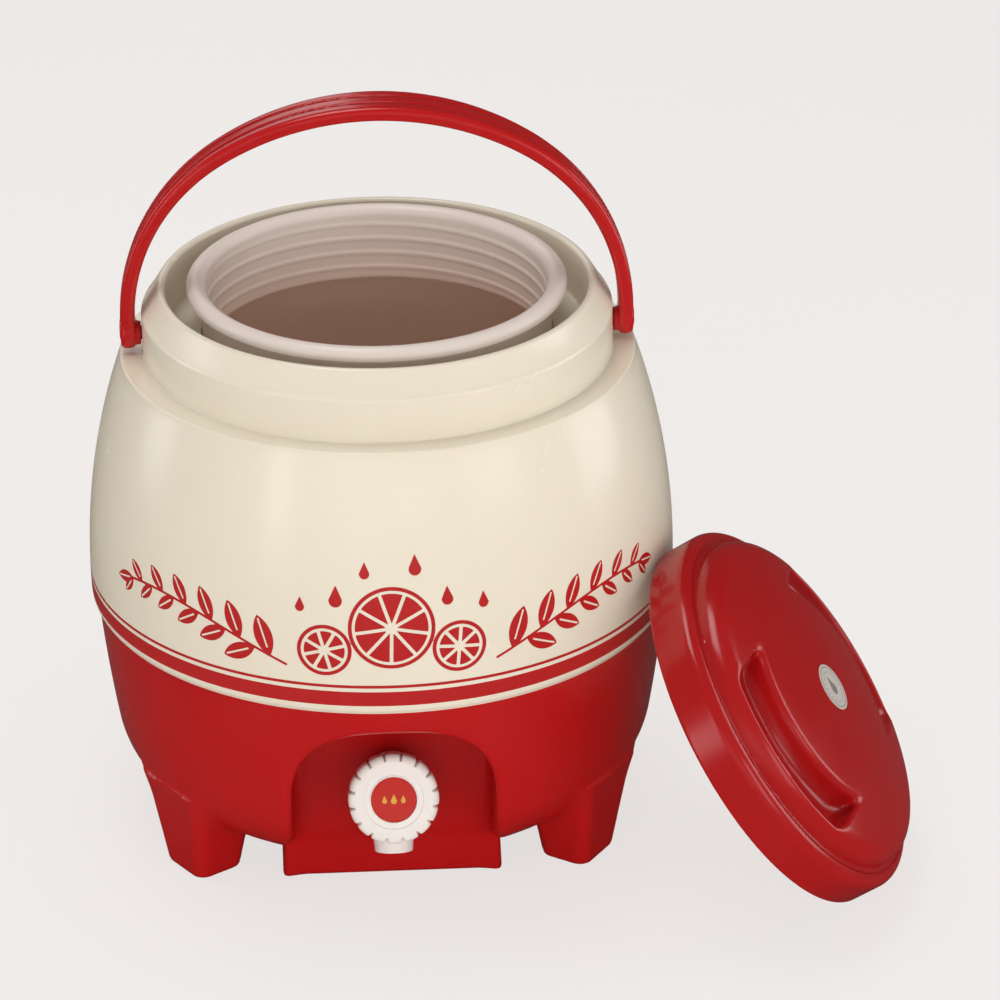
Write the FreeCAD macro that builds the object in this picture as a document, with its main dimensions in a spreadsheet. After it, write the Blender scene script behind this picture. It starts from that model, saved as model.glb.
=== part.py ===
import FreeCAD, Part
import Sketcher
import math
import os
from types import SimpleNamespace

# Insulated water jug, millimetres.
# +Z is up, the origin is on the jug's axis at the floor, and the tap faces -Y.

doc = FreeCAD.newDocument("insulated_water_jug")
sheet = doc.addObject("Spreadsheet::Sheet", "sizes")

SIZES = [
    ("wall", 3.0, "moulded wall of the outer shells and the lid cover"),
    ("skin", 2.5, "wall of the inner vessel and the lid plug"),
    ("seat_gap", 0.3, "gap between the foam and the walls round it"),
    ("run_gap", 0.1, "radial running clearance of a pin in its hole"),
    ("base_z", 27.0, "underside of the bowl above the floor"),
    ("low_centre", 108.8, "radius at which the bowl's bottom curve starts"),
    ("low_curve", 52.2, "radius of the bowl's bottom curve"),
    ("knee_tilt", 9.0, "slope of the bowl wall where the curves meet, degrees"),
    ("side_curve", 974.0, "radius of the bowl's upper side curve"),
    ("seam_z", 147.0, "height of the seam between the two shells"),
    ("seam_low", 169.3, "outer radius of the lower shell at the seam"),
    ("spigot_out", 167.8, "outer radius of the spigot above the seam"),
    ("spigot_in", 165.4, "inner radius of the spigot"),
    ("spigot_rise", 11.0, "height of the spigot above the seam"),
    ("lip_out", 170.2, "outer radius of the upper shell's lower edge"),
    ("lip_in", 168.3, "inner radius of the upper shell's lower edge"),
    ("lip_rise", 5.5, "height of the rolled-in lower edge"),
    ("lip_curve", 6.0, "radius of the rolled-in lower edge"),
    ("belly_low", 172.7, "outer radius above the rolled-in edge"),
    ("barrel_curve", 390.0, "radius of the upper shell's barrel curve"),
    ("ledge_z", 300.0, "height of the ledge round the neck"),
    ("ledge_out", 150.0, "outer radius of the ledge"),
    ("ledge_round", 1.4, "rounding of the ledge's outer edge"),
    ("neck_out", 136.5, "outer radius of the neck band"),
    ("crease_z", 326.5, "top of the neck band"),
    ("crease_round", 1.6, "rounding between neck band and top slope"),
    ("rim_out", 127.0, "radius where the top slope ends"),
    ("rim_z", 340.3, "top of the shell's rim"),
    ("rim_top", 124.8, "radius of the top of the shell's rim"),
    ("rim_in", 122.5, "inner radius of the shell's rim"),
    ("well_in", 121.5, "radius at the foot of the well round the mouth"),
    ("well_z", 310.0, "floor of the well round the mouth"),
    ("well_hole", 102.3, "hole of the well floor round the vessel's neck"),
    ("niche_r", 58.5, "radius and half width of the tap niche"),
    ("niche_z", 75.5, "height of the niche arch's centre"),
    ("face_y", 100.0, "distance of the niche face from the axis"),
    ("block_half", 62.5, "half width of the front block"),
    ("block_back", 62.0, "distance of the block's back from the axis"),
    ("block_round", 6.0, "rounding of the block's upright edges"),
    ("foot_angle", 55.5, "angle of a front foot from straight ahead, degrees"),
    ("foot_out", 151.5, "radius of a foot's outer face at the floor"),
    ("foot_in", 118.0, "radius of a foot's inner face at the floor"),
    ("foot_half", 21.0, "half width of a foot"),
    ("foot_round", 9.0, "rounding of a foot's outer edges"),
    ("foot_rise", 58.0, "height to which the feet run into the bowl"),
    ("foot_draft", 3.5, "draft of the feet, degrees"),
    ("fill_hole", 8.0, "radius of the foam filling hole"),
    ("vessel_in", 99.1, "inner radius of the vessel's neck"),
    ("vessel_neck_z", 300.0, "height where the vessel's neck starts"),
    ("shoulder", 38.0, "radius of the vessel's shoulder"),
    ("vessel_swell", 3.6, "bulge of the vessel's side halfway up"),
    ("vessel_low_z", 108.0, "height where the vessel's bottom curve starts"),
    ("vessel_low", 58.0, "radius of the vessel's bottom curve"),
    ("bead_z", 338.8, "centre height of the rolled bead at the mouth"),
    ("bead_r", 5.5, "radius of the rolled bead"),
    ("bead_drop", 4.0, "length of the bead's turned-down edge"),
    ("bead_lap", 0.5, "overlap of the bead and the neck below it"),
    ("foam_space", 8.0, "foam between the niche wall and the vessel"),
    ("tap_z", 68.0, "height of the tap's shank"),
    ("tap_hole", 9.4, "radius of the holes for the shank"),
    ("head_y", 118.0, "distance of the tap head's centre from the axis"),
    ("head_tilt", 20.0, "upward tilt of the tap head, degrees"),
    ("shank_r", 9.0, "radius of the tap's shank"),
    ("shank_end", 72.0, "distance of the shank's inner end from the axis"),
    ("shank_bore", 5.5, "bore of the shank"),
    ("flange_r", 17.0, "radius of the tap's flange"),
    ("flange_t", 4.0, "thickness of the tap's flange"),
    ("gasket_t", 2.0, "thickness of the tap's gaskets"),
    ("head_r", 15.0, "radius of the tap's head"),
    ("head_front", 16.0, "length of the head in front of its centre"),
    ("chamber_r", 9.5, "radius of the valve chamber"),
    ("port_r", 5.0, "radius of the port into the valve chamber"),
    ("port_long", 8.0, "length of the port into the valve chamber"),
    ("spout_y", 126.0, "distance of the spout from the axis"),
    ("spout_z", 34.5, "height of the spout's mouth"),
    ("spout_low", 11.0, "outer radius of the spout's mouth"),
    ("spout_high", 13.2, "outer radius of the spout at the head"),
    ("spout_top", 58.5, "height where the spout meets the head"),
    ("spout_bore", 8.0, "bore of the spout"),
    ("spout_reach", 62.5, "height that the spout's bore reaches"),
    ("nut_flat", 14.0, "half width across the back nut's flats"),
    ("nut_t", 8.0, "thickness of the back nut"),
    ("spacer_r", 13.0, "outer radius of the spacer sleeve"),
    ("stem_r", 4.0, "radius of the valve stem"),
    ("stem_top", 29.0, "end of the valve stem under the knob's screw"),
    ("stem_disc", 7.5, "radius of the disc that carries the seal"),
    ("seal_r", 8.5, "radius of the valve seal"),
    ("seal_t", 4.1, "thickness of the valve seal"),
    ("nose_r", 2.5, "radius of the stem's nose through the seal"),
    ("gland_in", 10.0, "inner end of the gland nut"),
    ("gland_r", 9.3, "radius of the gland nut in the chamber"),
    ("gland_head", 14.5, "radius of the gland nut's head"),
    ("gland_top", 19.4, "outer face of the gland nut"),
    ("ring_groove", 6.2, "radius of the gland's ring groove"),
    ("ring_low", 12.0, "start of the gland's ring groove"),
    ("ring_high", 14.6, "end of the gland's ring groove"),
    ("knob_r", 26.0, "radius of the knob"),
    ("knob_back", 20.4, "back of the knob"),
    ("knob_front", 34.0, "front of the knob"),
    ("knob_flat", 21.5, "radius of the knob's flat front ring"),
    ("knob_web", 28.8, "back of the knob's web"),
    ("hub_r", 9.0, "radius of the knob's hub"),
    ("skirt_r", 21.0, "inner radius of the knob's skirt"),
    ("cap_r", 13.2, "radius of the coloured cap in the knob"),
    ("cap_back", 31.9, "floor of the recess for the cap"),
    ("screw_head", 5.6, "radius of the knob screw's head"),
    ("cut_past", 20.0, "reach of a cut past the face that it opens"),
    ("cut_over", 2.0, "small reach of a cut past a flat face"),
    ("niche_reach", 220.0, "distance from the axis to which the niche is cut"),
    ("fill_way", 10.0, "depth of the cut for the foam filling hole"),
    ("fill_room", 8.0, "height of the room left in the foam over the filling hole"),
    ("crease_arc", 2.56, "radius of the curve between neck band and top slope"),
    ("crease_in", 0.88, "inset of the top slope's start"),
    ("rim_drop", 1.2, "drop of the rim's outer edge"),
    ("rim_round", 2.6, "rounding of the rim"),
    ("rim_lip", 2.0, "drop of the rim's inner edge"),
    ("rim_under", 4.6, "drop of the rim's underside"),
    ("ledge_in", 2.7, "inset of the ledge's inner side"),
    ("pivot_past", 13.5, "reach of the pivot holes' cut past the neck band"),
    ("pivot_inside", 6.5, "reach of the pivot holes inwards from the neck band"),
    ("pivot_keep", 40.0, "half height of the middle that the pivot holes spare"),
    ("shank_past", 10.0, "reach of the shank's way in front of the niche face"),
    ("shank_way", 30.0, "length of the shank's way through vessel and foam"),
    ("foam_ledge", 3.2, "inset of the foam under the ledge"),
    ("foam_crease", 1.0, "drop of the foam under the top of the neck band"),
    ("foam_rim_out", 3.5, "distance of the foam from the well's outer side"),
    ("foam_rim_low", 9.0, "drop of the foam under the rim"),
    ("foam_well", 0.4, "distance of the foam from the well's foot"),
    ("screw_r", 1.45, "radius of the knob screw"),
    ("screw_low", 18.0, "end of the knob screw"),
    ("lobes", 16, "number of lobes of the knob"),
    ("notch_deep", 2.6, "depth of the notches between the lobes"),
    ("notch_half", 1.3, "half width of the notches at the rim"),
    ("pivot_z", 311.0, "height of the handle's pivots"),
    ("bail_rise", 140.4, "height of the handle's top above the pivots"),
    ("bail_reach", 148.8, "distance of the arms' outer faces from the axis"),
    ("crown_arc", 170.0, "radius of the handle's crown"),
    ("bend_arc", 125.0, "radius of the bends between crown and arms"),
    ("bail_t", 8.6, "thickness of the handle"),
    ("bail_half", 15.5, "half width of the handle at the top"),
    ("arm_half", 8.0, "half width of the handle at its arms"),
    ("bail_groove", 1.3, "depth of the two grooves along the handle"),
    ("groove_half", 0.9, "half width of the grooves"),
    ("groove_y", 5.2, "distance of the grooves from the middle"),
    ("eye_r", 9.0, "radius of the rounded ends of the arms"),
    ("boss_r", 7.0, "radius of the bosses inside the arms"),
    ("boss_x", 137.1, "distance of the bosses' faces from the axis"),
    ("root_lap", 1.0, "overlap of the bosses and pins with the arms"),
    ("pin_r", 4.0, "radius of the pivot pins"),
    ("pin_x", 129.0, "distance of the pins' ends from the axis"),
    ("cup_r", 7.0, "radius of the cups behind the pivot holes"),
    ("cup_out", 133.2, "distance of the cups' open faces from the axis"),
    ("cup_in", 126.4, "distance of the cups' closed ends from the axis"),
    ("cup_floor", 128.2, "distance of the cups' floors from the axis"),
    ("lid_r", 114.8, "outer radius of the lid's skirt"),
    ("lid_side", 19.0, "straight height of the lid's skirt"),
    ("lid_shoulder", 7.0, "radius of the lid's shoulder"),
    ("ring_wide", 8.8, "width of the lid's outer ring, from its side to the groove"),
    ("groove_step", 1.6, "width of the groove round the raised top"),
    ("step_z", 29.5, "height of the groove's inner edge"),
    ("disc_z", 33.0, "height of the raised top's side"),
    ("crown_edge", 4.3, "distance from the raised top's side to the start of the crown"),
    ("crown_z", 38.5, "height where the crown starts"),
    ("crown_round", 6.5, "rounding of the raised top's edge"),
    ("flat_r", 16.0, "radius of the flat in the middle of the crown"),
    ("lid_z", 49.3, "height of the lid"),
    ("grip_wide", 26.2, "width of the finger recesses"),
    ("grip_edge", 3.1, "distance from the recesses to the start of the crown"),
    ("grip_half", 54.0, "half length of the finger recesses"),
    ("grip_z", 29.0, "floor of the finger recesses"),
    ("plug_margin", 17.3, "distance from the lid's side to the side of its plug"),
    ("plug_z", 1.0, "underside of the lid's plug"),
    ("flange_margin", 6.2, "distance from the lid's side to the plug's flange"),
    ("flange_z", 20.5, "underside of the plug's flange"),
    ("ceiling_z", 23.0, "underside of the lid cover's shoulder"),
    ("gasket_room", 2.0, "gap between the plug and the lid gasket"),
    ("gasket_edge", 0.6, "distance from the flange's edge to the gasket's edge"),
    ("gasket_h", 2.5, "thickness of the lid gasket"),
    ("label_r", 14.5, "radius of the round label"),
    ("label_t", 0.3, "thickness of the round label"),
    ("lid_turn", -14.02, "direction in which the leaning lid faces, degrees"),
    ("lid_lean", 35.0, "angle of the lid's axis above level, degrees"),
    ("lid_roll", -5.6, "turn of the lid about its own axis, degrees"),
    ("lid_x", 217.7, "sideways position of the leaning lid"),
    ("lid_y", 101.7, "forward position of the leaning lid"),
    ("lid_lift", 0.3, "gap between the lid's edge and the floor"),
]


class Size:
    # a number together with the sheet expression that gives it
    def __init__(self, value, text):
        self.value = float(value)
        self.text = text

    def __add__(self, other):
        other = as_size(other)
        return Size(self.value + other.value, "(" + self.text + " + " + other.text + ")")

    def __sub__(self, other):
        other = as_size(other)
        return Size(self.value - other.value, "(" + self.text + " - " + other.text + ")")

    def __mul__(self, other):
        other = as_size(other)
        return Size(self.value * other.value, "(" + self.text + " * " + other.text + ")")

    def __truediv__(self, other):
        other = as_size(other)
        return Size(self.value / other.value, "(" + self.text + " / " + other.text + ")")

    def __neg__(self):
        return Size(-self.value, "(0 - " + self.text + ")")


def as_size(item):
    if isinstance(item, Size):
        return item
    return Size(item, repr(float(item)))


def cosine(angle):
    return Size(math.cos(math.radians(angle.value)), "cos(" + angle.text + ")")


def sine(angle):
    return Size(math.sin(math.radians(angle.value)), "sin(" + angle.text + ")")


def root(item):
    return Size(math.sqrt(item.value), "sqrt(" + item.text + ")")


named = {}
for row, (name, number, meaning) in enumerate(SIZES, start=1):
    sheet.set("A" + str(row), meaning)
    sheet.set("B" + str(row), str(number))
    sheet.setAlias("B" + str(row), name)
    named[name] = Size(number, "sizes." + name)
d = SimpleNamespace(**named)
doc.recompute()

nodes = {}
DOME = object()


def bind(item, prop, size):
    size = as_size(size)
    setattr(item, prop, size.value)
    item.setExpression(prop, size.text)


def place(item, x, y, z, rotation=None):
    # puts an object at a point given by sheet expressions
    x = as_size(x)
    y = as_size(y)
    z = as_size(z)
    turn = rotation if rotation is not None else FreeCAD.Rotation()
    item.Placement = FreeCAD.Placement(FreeCAD.Vector(x.value, y.value, z.value), turn)
    item.setExpression("Placement.Base.x", x.text)
    item.setExpression("Placement.Base.y", y.text)
    item.setExpression("Placement.Base.z", z.text)
    return item


def pin_point(sketch, geo, pos, x, y):
    # ties one point of a sketch to the sketch's axes by two named distances
    for size, along, axis in ((x, "DistanceX", -2), (y, "DistanceY", -1)):
        if abs(size.value) < 1e-9:
            sketch.addConstraint(Sketcher.Constraint("PointOnObject", geo, pos, axis))
            continue
        if size.value > 0:
            rule = Sketcher.Constraint(along, -1, 1, geo, pos, size.value)
            text = size.text
        else:
            rule = Sketcher.Constraint(along, geo, pos, -1, 1, -size.value)
            text = (-size).text
        index = sketch.addConstraint(rule)
        sketch.setExpression("Constraints[" + str(index) + "]", text)


def draw(sketch, outline):
    # closed outline: each entry is (x, y) or (x, y, radius, turn) for an arc to the next point;
    # a DOME in place of the radius puts the arc's centre on the axis of turning
    points = [(as_size(p[0]), as_size(p[1])) for p in outline]
    ends = []
    for i, entry in enumerate(outline):
        ax, ay = points[i]
        bx, by = points[(i + 1) % len(points)]
        start = FreeCAD.Vector(ax.value, ay.value, 0)
        stop = FreeCAD.Vector(bx.value, by.value, 0)
        if len(entry) == 2:
            geo = sketch.addGeometry(Part.LineSegment(start, stop), False)
            ends.append((geo, 1, 2))
            pin_point(sketch, geo, 1, ax, ay)
            continue
        dome = entry[2] is DOME
        if dome:
            rise = (ax.value ** 2 + ay.value ** 2 - bx.value ** 2 - by.value ** 2) / (2 * (ay.value - by.value))
            radius = as_size(math.hypot(ax.value, ay.value - rise))
        else:
            radius = as_size(entry[2])
        chord = stop - start
        middle = (start + stop) * 0.5
        offset = math.sqrt(max(radius.value ** 2 - chord.Length ** 2 / 4, 0))
        left = FreeCAD.Vector(-chord.y, chord.x, 0).normalize()
        centre = middle + left * (offset * entry[3])
        circle = Part.Circle(centre, FreeCAD.Vector(0, 0, 1), radius.value)
        first = math.atan2(start.y - centre.y, start.x - centre.x)
        last = math.atan2(stop.y - centre.y, stop.x - centre.x)
        if entry[3] < 0:
            first, last = last, first
        if last < first:
            last += 2 * math.pi
        geo = sketch.addGeometry(Part.ArcOfCircle(circle, first, last), False)
        here, there = (1, 2) if entry[3] > 0 else (2, 1)
        ends.append((geo, here, there))
        pin_point(sketch, geo, here, ax, ay)
        if dome:
            sketch.addConstraint(Sketcher.Constraint("PointOnObject", geo, 3, -2))
            continue
        index = sketch.addConstraint(Sketcher.Constraint("Radius", geo, radius.value))
        sketch.setExpression("Constraints[" + str(index) + "]", radius.text)
    for i, (geo, here, there) in enumerate(ends):
        after = ends[(i + 1) % len(ends)]
        sketch.addConstraint(Sketcher.Constraint("Coincident", geo, there, after[0], after[1]))


def new_sketch(body, role, name):
    sketch = body.newObject("Sketcher::SketchObject", name)
    plane = [f for f in body.Origin.OriginFeatures if f.Role == role][0]
    sketch.AttachmentSupport = [(plane, "")]
    sketch.MapMode = "FlatFace"
    return sketch


def turned(name, outline):
    # solid of revolution about Z from an outline of (radius, height)
    body = doc.addObject("PartDesign::Body", name)
    sketch = new_sketch(body, "XZ_Plane", name + "_outline")
    draw(sketch, outline)
    solid = body.newObject("PartDesign::Revolution", name + "_turned")
    solid.Profile = sketch
    solid.ReferenceAxis = (sketch, ["V_Axis"])
    solid.Angle = 360.0
    sketch.Visibility = False
    return body


def padded(name, outline, height, draft=None):
    # upright prism on the XY plane, wider towards the top when it has a draft
    body = doc.addObject("PartDesign::Body", name)
    sketch = new_sketch(body, "XY_Plane", name + "_outline")
    draw(sketch, outline)
    solid = body.newObject("PartDesign::Pad", name + "_pad")
    solid.Profile = sketch
    bind(solid, "Length", height)
    if draft is not None:
        bind(solid, "TaperAngle", draft)
    return body


def runs(centre_r, centre_z, radius, start, end, count):
    # points of an arc that is made of short straight runs, from start to end in degrees
    points = []
    for i in range(count + 1):
        angle = as_size(start) + (as_size(end) - as_size(start)) * (i / count)
        points.append((as_size(centre_r) + as_size(radius) * cosine(angle),
                       as_size(centre_z) + as_size(radius) * sine(angle)))
    return points


def rod(name, radius, length, x, y, z, rotation=None):
    item = doc.addObject("Part::Cylinder", name)
    bind(item, "Radius", radius)
    bind(item, "Height", length)
    return place(item, x, y, z, rotation)


def block(name, length, width, height, x, y, z):
    item = doc.addObject("Part::Box", name)
    bind(item, "Length", length)
    bind(item, "Width", width)
    bind(item, "Height", height)
    return place(item, x, y, z)


def fuse(name, parts):
    item = doc.addObject("Part::MultiFuse", name)
    item.Shapes = parts
    return item


def cut(name, base, tool):
    item = doc.addObject("Part::Cut", name)
    item.Base = base
    item.Tool = tool
    return item


def node(label, item):
    item.Label = label
    nodes[label] = item
    return item


FORWARD = FreeCAD.Rotation(FreeCAD.Vector(1, 0, 0), 90)
BACKWARD = FreeCAD.Rotation(FreeCAD.Vector(1, 0, 0), -90)
SIDEWAYS = FreeCAD.Rotation(FreeCAD.Vector(0, 1, 0), 90)

# Niche of the tap: an arch in front of a flat face, grown by a margin for the walls behind it.


def arch(name, grow, far=None):
    radius = d.niche_r + grow
    start = as_size(far) if far is not None else d.face_y - grow
    depth = d.niche_reach - start
    top = rod(name + "_top", radius, depth, 0, -start, d.niche_z, FORWARD)
    height = d.niche_z + d.cut_past
    low = block(name + "_low", radius * 2.0, depth, height, -radius, -(start + depth), -d.cut_past)
    return fuse(name, [top, low])


# Feet and front block, drawn at the floor and widening upwards.


def foot(name, inset, low):
    inset = as_size(inset)
    half = d.foot_half - inset
    side = d.foot_out - inset - d.foot_round
    inner = d.foot_in + inset
    outline = [
        (inner, -half),
        (side, -half, d.foot_round, 1),
        (side + d.foot_round, -(half - d.foot_round), d.foot_out - inset, 1),
        (side + d.foot_round, half - d.foot_round, d.foot_round, 1),
        (side, half),
        (inner, half),
    ]
    shape = padded(name, outline, d.foot_rise - low, d.foot_draft)
    return shape


def four_feet(name, inset, low):
    parts = []
    for i, (sx, sy) in enumerate(((-1, -1), (1, -1), (-1, 1), (1, 1))):
        body = foot(name + str(i + 1), inset, low)
        ahead = math.radians(d.foot_angle.value)
        angle = math.degrees(math.atan2(sy * math.cos(ahead), sx * math.sin(ahead)))
        place(body, 0, 0, low, FreeCAD.Rotation(FreeCAD.Vector(0, 0, 1), angle))
        parts.append(body)
    return parts


def front_block(name, inset, low):
    inset = as_size(inset)
    half = d.block_half - inset
    front = d.face_y - inset
    back = d.block_back + inset
    turn = d.block_round
    outline = [
        (-half, -back),
        (-half, -(front - turn), turn, 1),
        (-(half - turn), -front),
        (half - turn, -front, turn, 1),
        (half, -(front - turn)),
        (half, -back),
    ]
    body = padded(name, outline, d.foot_rise - low)
    return place(body, 0, 0, low)


# Lower shell: bowl with four feet, front block and tap niche, one moulding.
knee_cos = cosine(d.knee_tilt)
knee_sin = sine(d.knee_tilt)


def bowl(name, inset, rim, top_r, top_z):
    # the outside has true arcs, and the hidden inside short straight runs
    inset = as_size(inset)
    low = d.low_curve - inset
    centre_z = d.base_z + d.low_curve
    outline = [(0, d.base_z + inset)]
    if inset.value == 0:
        outline.append((d.low_centre, d.base_z, low, 1))
        outline.append((d.low_centre + low * knee_cos, centre_z - low * knee_sin, d.side_curve, 1))
    else:
        outline += runs(d.low_centre, centre_z, low, -90.0, -d.knee_tilt, 5)
    outline += [
        (rim, d.seam_z),
        (top_r, d.seam_z),
        (top_r, top_z),
        (0, top_z),
    ]
    return turned(name, outline)


spigot_top = d.seam_z + d.spigot_rise
bowl_out = bowl("bowl_out", 0.0, d.seam_low, d.spigot_out, spigot_top)
bowl_in = bowl("bowl_in", d.wall, d.seam_low - d.wall, d.spigot_in, spigot_top + d.cut_over)
outside = fuse("lower_outside", [bowl_out, front_block("block_out", 0.0, as_size(0.0))] +
               four_feet("foot_out_", 0.0, as_size(0.0)))
inside = fuse("lower_inside", [bowl_in, front_block("block_in", d.wall, d.wall)] +
              four_feet("foot_in_", d.wall, d.wall))
cavity = cut("lower_cavity", inside, arch("niche_wall", d.wall))
hollowed = cut("lower_hollowed", outside, cavity)
openings = fuse("lower_openings", [
    arch("niche", as_size(0.0)),
    rod("tap_way", d.tap_hole, d.cut_past * 2.0, 0, -(d.face_y + d.cut_past), d.tap_z, BACKWARD),
    rod("fill_way", d.fill_hole, d.fill_way, 0, 0, d.base_z - d.cut_over),
])
shell_lower = node("shell_lower", cut("shell_lower", hollowed, openings))

# Upper shell: barrel, ledge, neck band, rim and the well round the mouth, one moulding.
barrel_in = d.barrel_curve - d.wall
upper = turned("upper_turned", [
    (d.lip_in, d.seam_z),
    (d.lip_out, d.seam_z, d.lip_curve, 1),
    (d.belly_low, d.seam_z + d.lip_rise, d.barrel_curve, 1),
    (d.ledge_out, d.ledge_z - d.ledge_round, d.ledge_round, 1),
    (d.ledge_out - d.ledge_round, d.ledge_z),
    (d.neck_out, d.ledge_z),
    (d.neck_out, d.crease_z - d.crease_round, d.crease_arc, 1),
    (d.neck_out - d.crease_in, d.crease_z),
    (d.rim_out, d.rim_z - d.rim_drop, d.rim_round, 1),
    (d.rim_top, d.rim_z, d.rim_round, 1),
    (d.rim_in, d.rim_z - d.rim_lip),
    (d.well_in, d.well_z),
    (d.well_hole, d.well_z),
    (d.well_hole, d.well_z - d.skin),
    (d.well_in + d.skin, d.well_z - d.skin),
    (d.rim_in + d.skin, d.rim_z - d.rim_under),
    (d.neck_out - d.wall, d.crease_z - d.wall),
    (d.neck_out - d.wall, d.ledge_z - d.wall),
    (d.ledge_out - d.ledge_in, d.ledge_z - d.wall, barrel_in, -1),
    (d.belly_low - d.wall, d.seam_z + d.lip_rise),
])
pivot_end = d.neck_out + d.pivot_past
pivot_way = rod("pivot_way", d.pin_r + d.run_gap, pivot_end * 2.0, -pivot_end, 0, d.pivot_z, SIDEWAYS)
keep_r = d.neck_out - d.pivot_inside
pivot_keep = rod("pivot_keep", keep_r, d.pivot_keep * 2.0, 0, 0, d.pivot_z - d.pivot_keep)
pivot_holes = cut("pivot_holes", pivot_way, pivot_keep)
shell_upper = node("shell_upper", cut("shell_upper", upper, pivot_holes))

# Inner vessel: narrow neck with a rolled bead, round shoulder, belly and a relief behind the niche.


def vessel(name, grow, top, extra=None):
    grow = as_size(grow)
    neck = d.vessel_in + d.skin + grow
    shoulder = d.shoulder + grow
    low = d.vessel_low + grow
    side = d.vessel_in + d.skin + d.shoulder + grow
    middle_z = (d.vessel_low_z + d.vessel_neck_z - d.shoulder) * 0.5
    outline = [(0, d.vessel_low_z - low)]
    outline += runs(side - low, d.vessel_low_z, low, -90.0, 0.0, 5)
    outline.append((side + d.vessel_swell, middle_z))
    outline += runs(side - shoulder, d.vessel_neck_z - d.shoulder, shoulder, 0.0, 67.5, 3)
    outline += [
        (neck, d.vessel_neck_z + grow),
        (neck, top),
        (0, top),
    ]
    return turned(name, outline)


outer_vessel = cut("vessel_relieved", vessel("vessel_out", 0.0, d.bead_z),
                   arch("vessel_relief", d.wall + d.foam_space))
inner_vessel = cut("vessel_room", vessel("vessel_in_turned", -d.skin, d.bead_z + d.cut_past),
                   arch("room_relief", d.wall + d.foam_space + d.skin))
bead_out = d.bead_r * 2.0
bead_middle = d.vessel_in + d.bead_r
bead = turned("bead", [
    (d.vessel_in, d.bead_z - d.bead_lap),
    (d.vessel_in + d.skin, d.bead_z - d.bead_lap),
] + runs(bead_middle, d.bead_z, d.bead_r - d.skin, 180.0, 0.0, 3) + [
    (d.vessel_in + bead_out - d.skin, d.bead_z - d.bead_drop),
    (d.vessel_in + bead_out, d.bead_z - d.bead_drop),
] + runs(bead_middle, d.bead_z, d.bead_r, 0.0, 180.0, 8))
vessel_shell = cut("vessel_shell", outer_vessel, inner_vessel)
vessel_beaded = fuse("vessel_beaded", [vessel_shell, bead])
shank_start = -(d.face_y + d.shank_past)
vessel_way = rod("vessel_way", d.tap_hole, d.shank_way, 0, shank_start, d.tap_z, BACKWARD)
inner_liner = node("inner_liner", cut("inner_liner", vessel_beaded, vessel_way))

# Foam between the shells and the vessel, poured as one piece.
gap = d.seat_gap
lower_side = d.seam_low - d.wall - gap
foam_low = runs(d.low_centre, d.base_z + d.low_curve, d.low_curve - d.wall - gap, -90.0, -d.knee_tilt, 5)
foam_out = turned("foam_turned", [(0, d.base_z + d.wall + gap)] + foam_low + [
    (lower_side, d.seam_z - gap),
    (d.spigot_in - gap, d.seam_z - gap),
    (d.spigot_in - gap, spigot_top + gap),
    (d.belly_low - d.wall - gap, spigot_top + gap, barrel_in - gap, 1),
    (d.ledge_out - d.foam_ledge, d.ledge_z - d.wall - gap),
    (d.neck_out - d.wall - gap, d.ledge_z - d.wall - gap),
    (d.neck_out - d.wall - gap, d.crease_z - d.wall - d.foam_crease),
    (d.well_in + d.skin + d.foam_rim_out, d.rim_z - d.foam_rim_low),
    (d.well_in + d.skin + gap + d.foam_well, d.well_z - d.skin - gap),
    (0, d.well_z - d.skin - gap),
])
foam_feet = fuse("foam_feet", [foam_out, front_block("block_foam", d.wall + gap, d.wall + gap)] +
                 four_feet("foot_foam_", d.wall + gap, d.wall + gap))
foam_arch = cut("foam_arched", foam_feet, arch("foam_niche", d.wall + gap))
foam_room = cut("foam_room", vessel("foam_vessel", gap, d.bead_z + d.cut_past),
                arch("foam_relief", d.wall + d.foam_space - gap))
foam_cups = fuse("foam_cuts", [
    foam_room,
    rod("spacer_way", d.spacer_r + gap, d.shank_way, 0, shank_start, d.tap_z, BACKWARD),
    rod("plug_way", d.fill_hole, d.fill_room, 0, 0, d.base_z),
    rod("cup_way", d.cup_r + gap, pivot_end * 2.0, -pivot_end, 0, d.pivot_z, SIDEWAYS),
])
foam_core = node("foam_core", cut("foam_core", foam_arch, foam_cups))

# Plug of the filling hole in the underside.
fill_plug = node("fill_plug", turned("fill_plug", [
    (0, d.base_z - 2.5),
    (d.fill_hole + 4.0, d.base_z - 2.5),
    (d.fill_hole + 5.0, d.base_z - 1.5),
    (d.fill_hole + 5.0, d.base_z),
    (d.fill_hole - 0.3, d.base_z),
    (d.fill_hole - 0.3, d.base_z + d.wall + 2.0),
    (0, d.base_z + d.wall + 2.0),
]))

# Cups behind the pivot holes of the neck band, which keep the foam off the handle's pins.
cup_parts = []
for side in (-1, 1):
    start = d.cup_in if side > 0 else -d.cup_out
    floor = d.cup_floor if side > 0 else -(d.cup_out + 1.0)
    tag = "right" if side > 0 else "left"
    outer = rod("cup_" + tag, d.cup_r, d.cup_out - d.cup_in, start, 0, d.pivot_z, SIDEWAYS)
    depth = d.cup_out + 1.0 - d.cup_floor
    hole = rod("cup_hole_" + tag, d.pin_r + d.run_gap, depth, floor, 0, d.pivot_z, SIDEWAYS)
    cup_parts.append(cut("cup_hollow_" + tag, outer, hole))
pivot_cups = node("pivot_cups", fuse("pivot_cups", cup_parts))

# Handle: arched band with two grooves, round ends, bosses and pivot pins, one moulding.
# Its crown is one arc, and a tighter arc on each side turns it down into the arms.
bend_x = d.bail_reach - d.bend_arc
crown_z = d.bail_rise - d.crown_arc
spread = d.crown_arc - d.bend_arc
bend_z = crown_z + root(spread * spread - bend_x * bend_x)


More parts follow.
